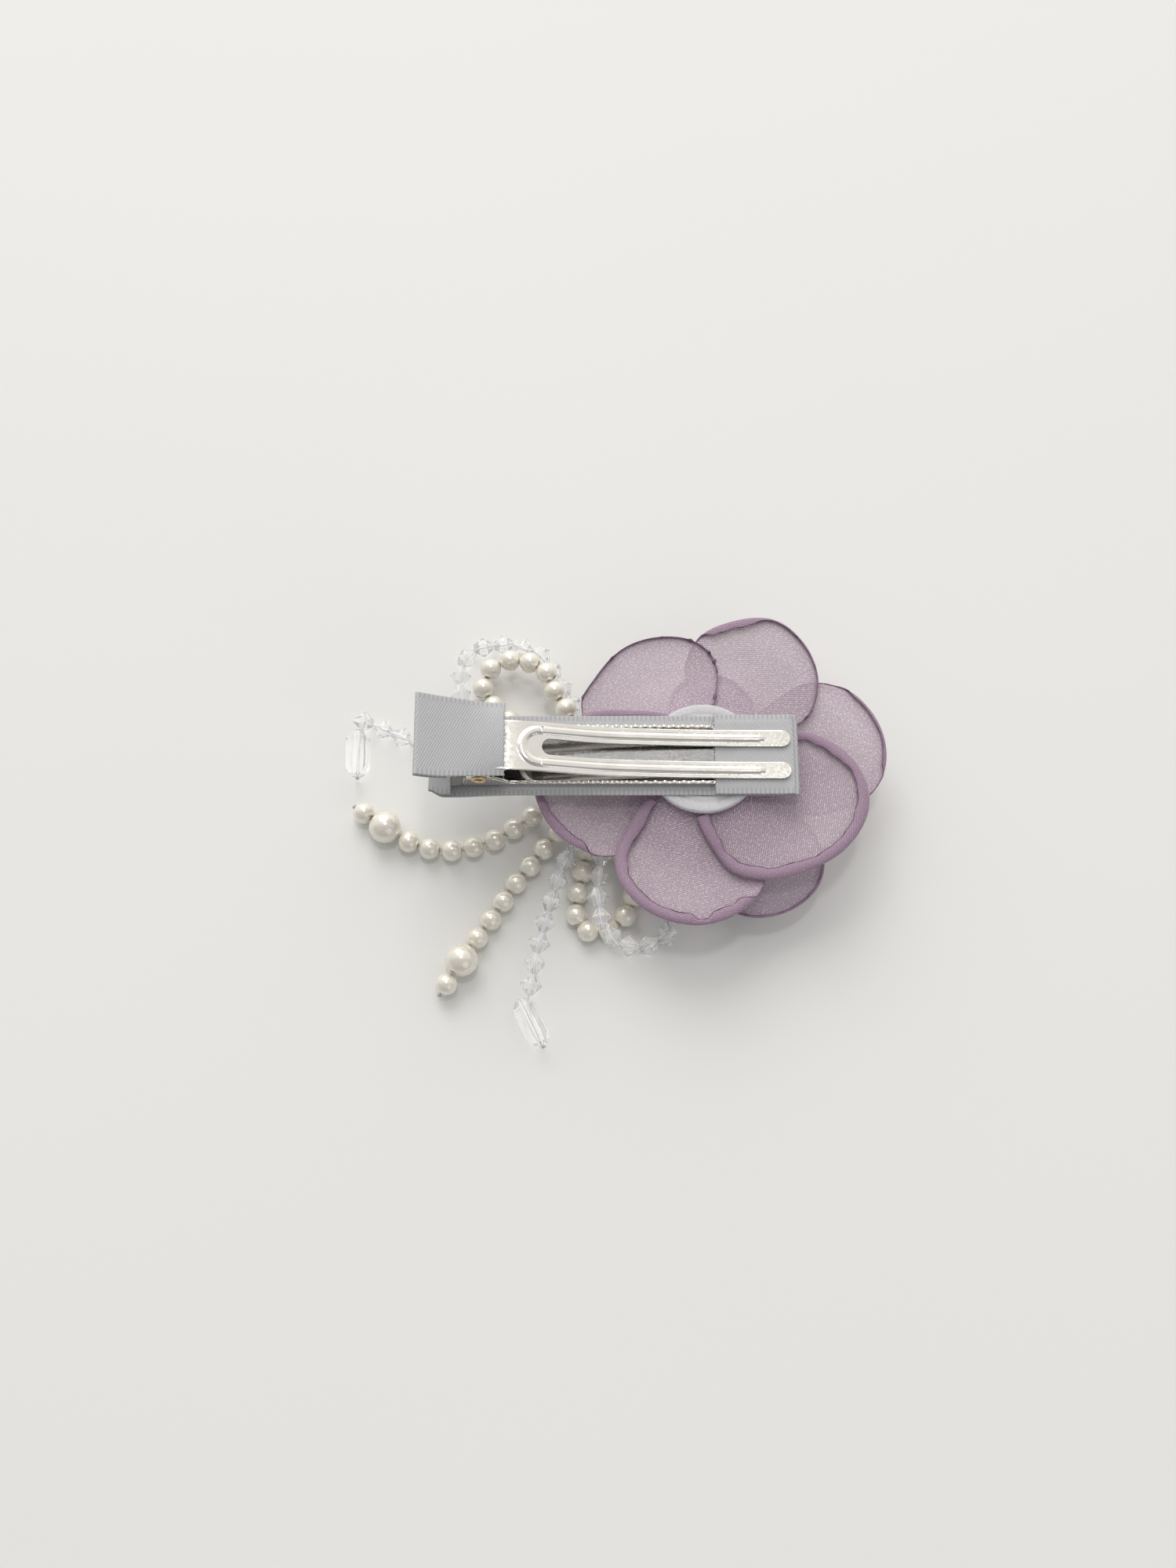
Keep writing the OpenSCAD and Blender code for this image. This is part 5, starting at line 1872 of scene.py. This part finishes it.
@dataclass
class Petal:
    """One organza petal, given by its rim in degrees and millimetres about the flower's centre."""

    name: str
    node: str
    rim: tuple[Flat, ...]
    roll: RolledRim
    order: int
    height: Callable[[int, float, float], float]
    layout: Layout
    finish: SheerOrganza
    root_r: float = 4.0
    across: int = 132
    out: int = 40
    roll_rows: int = 16
    edge_r: float = 0.085
    melt_start: float = 0.12

    def rim_at(self, s: float, t: float) -> Flat:
        """Return the place in plan at share s round the rim and t of the way out to it."""
        a, r = spline_at(self.rim, s)
        axis = (self.rim[0][0] + self.rim[-1][0]) / 2
        a = axis + (a - axis) * (0.7 + 0.3 * t)
        r = self.root_r + (r - self.root_r) * t
        return r * math.cos(math.radians(a)), r * math.sin(math.radians(a))

    def exposed(self, s: float) -> float:
        """Return how open to view the rim is at share s, from 0 to 1."""
        a = spline_at(self.rim, s)[0]
        return smooth((a - self.roll.start) / 9) * smooth((self.roll.stop - a) / 9)

    def column(self, s: float) -> tuple[Flat, Flat, Flat, float]:
        """Return the root, the rim, the outward direction and the roll's amount at share s."""
        root, rim = self.rim_at(s, 0.0), self.rim_at(s, 1.0)
        step = 0.004
        ax, ay = self.rim_at(max(0.0, s - step), 1.0)
        bx, by = self.rim_at(min(1.0, s + step), 1.0)
        tx, ty = bx - ax, by - ay
        size = max(math.hypot(tx, ty), 1e-9)
        nx, ny = ty / size, -tx / size
        if nx * rim[0] + ny * rim[1] < 0:
            nx, ny = -nx, -ny
        return root, rim, (nx, ny), self.exposed(s)

    def surface(self, x: float, y: float) -> float:
        """Return the cloth's height at a place in plan about the flower's centre."""
        r = math.hypot(x, y)
        a = math.degrees(math.atan2(y, x))
        wave = 0.11 * noise.noise(Vector((x * 0.17, y * 0.17, 2.0))) * smooth((r - 8) / 10)
        fine = 0.03 * noise.noise(Vector((x * 0.5, y * 0.5, 5.0))) * smooth((r - 8) / 10)
        return self.height(self.order, a, r) + wave + fine

    def build(self) -> None:
        """Build the petal and its singed edge and dress both."""
        points: list[Vector] = []
        lay: list[Flat] = []
        rims: list[float] = []
        roots: list[float] = []
        edge_path: list[Vector] = []
        edge_r: list[float] = []
        rows = self.out + self.roll_rows
        middle = (self.rim[0][0] + self.rim[-1][0]) / 2
        away = (math.cos(math.radians(middle)), math.sin(math.radians(middle)))
        grid = [[Vector()] * (self.across + 1) for _ in range(rows + 1)]
        for k in range(self.across + 1):
            s = k / self.across
            root, rim, (nx, ny), shown = self.column(s)
            wobble = 1 + 0.24 * noise.noise(Vector((s * 9.0, self.order * 3.1, 0.5)))
            wobble += 0.13 * noise.noise(Vector((s * 31.0, self.order * 5.3, 2.5)))
            full_width, full_rise, full_turn = self.roll.at(spline_at(self.rim, s)[0], wobble)
            width = mix(0.25, full_width, shown)
            rise = mix(0.05, full_rise, shown)
            turn = math.radians(mix(25.0, full_turn, shown))
            end = (rim[0] - nx * width, rim[1] - ny * width)
            reach = math.hypot(rim[0] - root[0], rim[1] - root[1])
            base = self.surface(*end)
            for j in range(rows + 1):
                if j <= self.out:
                    t = (j / self.out) ** 0.85
                    x, y = mix(root[0], end[0], t), mix(root[1], end[1], t)
                    z = self.surface(x, y)
                    rolled, walked = 0.0, t * (reach - width)
                else:
                    f = (j - self.out) / self.roll_rows
                    angle = turn * f
                    shrink = 1 - 0.25 * smooth((angle - math.pi / 2) / math.pi)
                    swing = width * math.sin(angle) * (shrink if angle > math.pi / 2 else 1.0)
                    x, y = end[0] + nx * swing, end[1] + ny * swing
                    z = base + rise * (1 - math.cos(angle)) * shrink
                    rolled, walked = f, reach - width + 1.35 * width * f
                grid[j][k] = Vector((x, y, z))
                points.append(self.layout.row(self.layout.flower_x + x, self.layout.flower_y + y, z))
                side = -x * away[1] + y * away[0]
                lay.append((side + 40.0, x * away[0] + y * away[1] + (walked if rolled else 0.0) * 0.3))
                # The rim and root masks set where the organza paints shade: on the rolled rim and by the
                # felt; they also set its cover.
                far = smooth((walked / max(reach, 1e-6) - 0.84) / 0.16)
                rims.append(min(1.0, 0.35 * far + 0.65 * smooth(rolled * 2.2)))
                roots.append(1 - smooth((math.hypot(x, y) - 7.0) / 9.0))
            thicken = noise.noise(Vector((s * 14.0, self.order * 2.0, 9.0)))
            char = self.edge_r + 0.06 * max(0.0, thicken)
            melt = noise.noise(Vector((s * 44.0, 3.0, self.order * 1.0)))
            burn = self.roll.blobs * max(0.0, melt - self.melt_start)
            tip = grid[rows][k]
            tip_x, tip_y = self.layout.flower_x + tip.x, self.layout.flower_y + tip.y
            edge_path.append(self.layout.row(tip_x, tip_y, tip.z))
            edge_r.append((char + burn) * MM)
        n = rows + 1
        faces = [
            (k * n + j, k * n + j + 1, (k + 1) * n + j + 1, (k + 1) * n + j)
            for k in range(self.across)
            for j in range(rows)
        ]
        cloth = Maker.from_lists(self.name, points, faces, lay)
        ClipMetal.face_up(cloth)
        Maker.paint(cloth, "rim", rims)
        Maker.paint(cloth, "root", roots)
        self.finish.dress(cloth)
        ends = len(edge_r) - 1
        edge = Maker.tube(f"{self.name}_edge", edge_path, lambda f: edge_r[min(ends, round(f * ends))], 7)
        EDGE.dress(edge)
        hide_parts(self.node)
        for piece in (cloth, edge):
            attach(piece, "clip_base")
        LOG.info("%s: %d corners", self.name, len(cloth.data.vertices))


@dataclass
class Flower:
    """Six outer and five inner petals with a pearl centre."""

    layout: Layout
    stack_step: float = 0.34
    puff_step: float = 0.34
    centre_r: float = 4.0
    ring_bead_r: float = 1.5
    ring_count: int = 10

    OUTER_RIMS = (
        (
            (-97, 11), (-86, 16), (-77, 21), (-64, 24.5), (-48, 27.5), (-33, 30),
            (-18, 30.8), (-6, 29), (6, 25), (18, 19), (24, 11),
        ),
        (
            (-146, 12), (-139, 18), (-131, 24.5), (-118, 28.5), (-103, 30.3),
            (-88, 30), (-74, 27.5), (-62, 23), (-56, 12),
        ),
        (
            (124, 11), (140, 16), (154, 23), (168, 28), (180, 30.7), (192, 31),
            (205, 30), (216, 27.5), (226, 24), (232, 18), (236, 11),
        ),
        ((78, 12), (80, 19), (88, 23.5), (102, 26), (120, 27), (138, 26), (152, 25), (165, 20), (170, 12)),
        (
            (22, 12), (25, 21), (31, 25), (40, 28.5), (52, 31.2),
            (64, 32), (78, 29), (90, 25.5), (98, 20), (100, 12),
        ),
        ((-32, 12), (-26, 20), (-14, 29), (-4, 32.8), (8, 34), (20, 33), (32, 30), (42, 24), (46, 12)),
    )  # fmt: skip
    OUTER_ROLLS = (
        RolledRim(1.4, 0.68, 218, -112, 42),
        RolledRim(1.3, 0.68, 218, -162, -66, marks=((-91, 3.5, 0.62, 0.9),)),
        RolledRim(1.15, 0.6, 212, 112, 224),
        RolledRim(0.55, 0.34, 130, 62, 154, blobs=0.65),
        RolledRim(0.65, 0.36, 150, 10, 94, blobs=0.25, marks=((79, 11.0, 2.1, 1.3),)),
        RolledRim(0.75, 0.38, 165, -8, 34, blobs=0.2),
    )
    INNER_RIMS = (
        ((-98, 8), (-90, 20), (-78, 27.5), (-62, 30.4), (-46, 30), (-34, 26), (-26, 19), (-20, 8)),
        ((-32, 8), (-24, 15), (-8, 20), (10, 21.5), (28, 20), (44, 15), (50, 8)),
        ((38, 8), (46, 15), (60, 19.5), (80, 21.5), (98, 20), (112, 15), (118, 8)),
        ((108, 8), (118, 13), (134, 15.5), (154, 16.5), (172, 15.5), (188, 13), (196, 8)),
        ((184, 8), (194, 13), (208, 15.5), (226, 16.5), (244, 15.5), (258, 13), (266, 8)),
    )
    INNER_ROLLS = (
        RolledRim(0.7, 0.3, 150, -110, 0),
        RolledRim(0.7, 0.32, 170, -16, 62),
        RolledRim(0.7, 0.32, 170, 54, 130),
        RolledRim(0.7, 0.32, 170, 122, 210),
        RolledRim(0.7, 0.32, 170, 200, 256),
    )
    INNER_DROPS = (2.3, 6.6, 6.6, 6.6, 6.6)

    def outer_height(self, order: int, a: float, r: float) -> float:
        """Return an outer petal's height at an angle and a reach."""
        return (
            self.layout.felt_low
            - 0.47
            - order * (self.stack_step + self.puff_step * smooth((r - 6) / 8))
            - 1.4 * math.sin(math.pi * smooth((r - 8) / 24))
            + 0.12 * math.sin(math.radians(6 * a)) * smooth((r - 8) / 10)
        )

    def inner_height(self, order: int, a: float, r: float) -> float:
        """Return an inner petal's height at a reach."""
        start = self.layout.felt_low - 0.4 - 6 * self.stack_step - 5 * self.puff_step - 0.12
        return start - order * self.stack_step - self.INNER_DROPS[order] * smooth((r - 5) / 14)

    def centre(self) -> None:
        """Build the centre pearl and the ring of small pearls round it."""
        cut = BeadCut(hole_r=0.3)
        x, y = self.layout.flower_x, self.layout.flower_y
        points, faces = cut.pearl(2 * self.centre_r, 56)
        middle = Maker.from_lists(
            "middle_pearl", [self.layout.row(x + p.x, y + p.y, self.centre_r + p.z) for p in points], faces
        )
        ring_points: list[Vector] = []
        ring_faces: list[tuple[int, ...]] = []
        reach = self.centre_r + self.ring_bead_r + 0.05
        for k in range(self.ring_count):
            a = math.tau * k / self.ring_count
            corners, sides = cut.pearl(2 * self.ring_bead_r, 28)
            turn = Matrix.Rotation(a, 3, "Z") @ Matrix.Rotation(math.pi / 2, 3, "X")
            start = len(ring_points)
            for c in corners:
                q = turn @ c
                out_x, out_y = reach * math.cos(a), reach * math.sin(a)
                ring_points.append(self.layout.row(x + out_x + q.x, y + out_y + q.y, 3 + q.z))
            ring_faces += [tuple(start + i for i in side) for side in sides]
        ring = Maker.from_lists("pearl_ring", ring_points, ring_faces)
        for piece, node in ((middle, "centre_pearl"), (ring, "centre_ring")):
            PEARL.dress(piece)
            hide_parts(node)
            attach(piece, "clip_base")
        LOG.info("flower centre: one pearl and a ring of %d", self.ring_count)

    def build(self) -> None:
        """Build the petals from the clip outward, then the centre."""
        for i, (rim, roll) in enumerate(zip(self.OUTER_RIMS, self.OUTER_ROLLS)):
            Petal(
                f"outer_petal_cloth_{i + 1}", f"outer_petal_{i + 1}", rim, roll, i, self.outer_height,
                self.layout, OUTER_ORGANZA,
            ).build()  # fmt: skip
        for i, (rim, roll) in enumerate(zip(self.INNER_RIMS, self.INNER_ROLLS)):
            Petal(
                f"inner_petal_cloth_{i + 1}", f"inner_petal_{i + 1}", rim, roll, i, self.inner_height,
                self.layout, INNER_ORGANZA, across=90, out=28, roll_rows=10,
            ).build()  # fmt: skip
        self.centre()


# --------------------------------------------------------------------------------------------------
# Table, light and camera
# --------------------------------------------------------------------------------------------------
@dataclass
class TableTop:
    """The pale table, the soft window light and the camera."""

    layout: Layout
    look_x: float = 19.2
    distance: float = 300.0
    elevation: float = 72.0
    lens: float = 36.5

    def camera(self) -> None:
        """Set the camera above the clip, leaning a little to the front."""
        data = bpy.data.cameras.new("overhead_camera")
        data.lens = self.lens
        data.sensor_width = 36.0
        data.sensor_fit = "AUTO"
        data.clip_start = 0.01
        data.clip_end = 20.0
        camera = bpy.data.objects.new("overhead_camera", data)
        bpy.context.scene.collection.objects.link(camera)
        lean = math.radians(self.elevation)
        target = self.layout.row(self.look_x, 0.0, 0.0)
        camera.location = target + Vector((0, -math.cos(lean), math.sin(lean))) * self.distance * MM
        camera.rotation_euler = (target - camera.location).to_track_quat("-Z", "Y").to_euler()
        bpy.context.scene.camera = camera

    def table(self) -> None:
        """Lay the table under the flower's face."""
        size = 1.6
        points = [Vector((x * size, y * size, -0.00002)) for x, y in ((-1, -1), (1, -1), (1, 1), (-1, 1))]
        top = Maker.from_lists("pale_table_top", points, [(0, 1, 2, 3)], smooth_faces=False)
        TABLE.dress(top)
        top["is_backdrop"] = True

    @staticmethod
    def light(name: str, place: Point, aim: Point, size: float, power: float, colour: Colour) -> None:
        """Add one soft square light.

        Args:
            name: the light's name.
            place: where it hangs, in metres.
            aim: where it points, in metres.
            size: its side, in metres.
            power: its power, in watts.
            colour: its colour.
        """
        data = bpy.data.lights.new(name, "AREA")
        data.shape = "SQUARE"
        data.size = size
        data.energy = power
        data.color = colour
        lamp = bpy.data.objects.new(name, data)
        bpy.context.scene.collection.objects.link(lamp)
        lamp.location = place
        lamp.rotation_euler = (Vector(aim) - Vector(place)).to_track_quat("-Z", "Y").to_euler()

    def surroundings(self) -> None:
        """Light the room: bright overhead, dimmer towards the horizon."""
        world = bpy.data.worlds.new("pale_room")
        bpy.context.scene.world = world
        world.use_nodes = True
        t = Tree(world.node_tree)
        background = world.node_tree.nodes["Background"]
        parts = t.add("ShaderNodeSeparateXYZ")
        t.link(t.add("ShaderNodeTexCoord").outputs["Generated"], parts.inputs[0])
        window_side = t.spread(parts.outputs[1], -0.25, 0.75, 0.0, 1.0)
        bands = t.math("MULTIPLY", t.math("SINE", t.math("MULTIPLY", parts.outputs[1], 9.0)), 0.08)
        share = t.math("ADD", window_side, bands)
        t.link(t.blend(share, (0.30, 0.30, 0.305), (1.0, 0.99, 0.965)), background.inputs[0])
        background.inputs[1].default_value = 1.08

    def build(self) -> None:
        """Lay the table and light it."""
        self.table()
        self.surroundings()
        self.light("window", (-0.25, 1.0, 0.95), (0, 0, 0), 0.9, 8.5, (1.0, 0.99, 0.975))
        self.light("ceiling_lamp", (0.03, 0.22, 1.25), (0, 0, 0), 0.13, 1.6, (1.0, 0.985, 0.95))
        self.light("fill", (0.7, -0.9, 0.7), (0, 0, 0), 0.9, 1.4, (0.97, 0.98, 1.0))
        view = bpy.context.scene.view_settings
        view.view_transform = "Standard"
        view.look = "None"
        view.exposure = 0.0


def write_sizes(frame_box: object) -> None:
    """Set the frame's box and the finished model's box side by side in a dict, which is not kept."""
    {"cad": plain(frame_box), "visual": plain(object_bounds())}


def plain(value: object) -> object:
    """Turn nested vectors into lists of numbers."""
    if isinstance(value, (int, float)):
        return float(value)
    return [plain(v) for v in value]


def main() -> None:
    """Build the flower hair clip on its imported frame."""
    logging.basicConfig(level=logging.INFO, format="%(name)s: %(message)s")
    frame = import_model()
    frame_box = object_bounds()
    layout = Layout.from_frame(frame)
    stage = TableTop(layout)
    stage.camera()
    BeadBow(layout).build()
    metal = ClipMetal(layout)
    metal.build()
    RibbonWrap(layout, metal).build()
    FeltBacking(layout).build()
    Flower(layout).build()
    stage.build()
    write_sizes(frame_box)


if __name__ == "__main__":
    main()
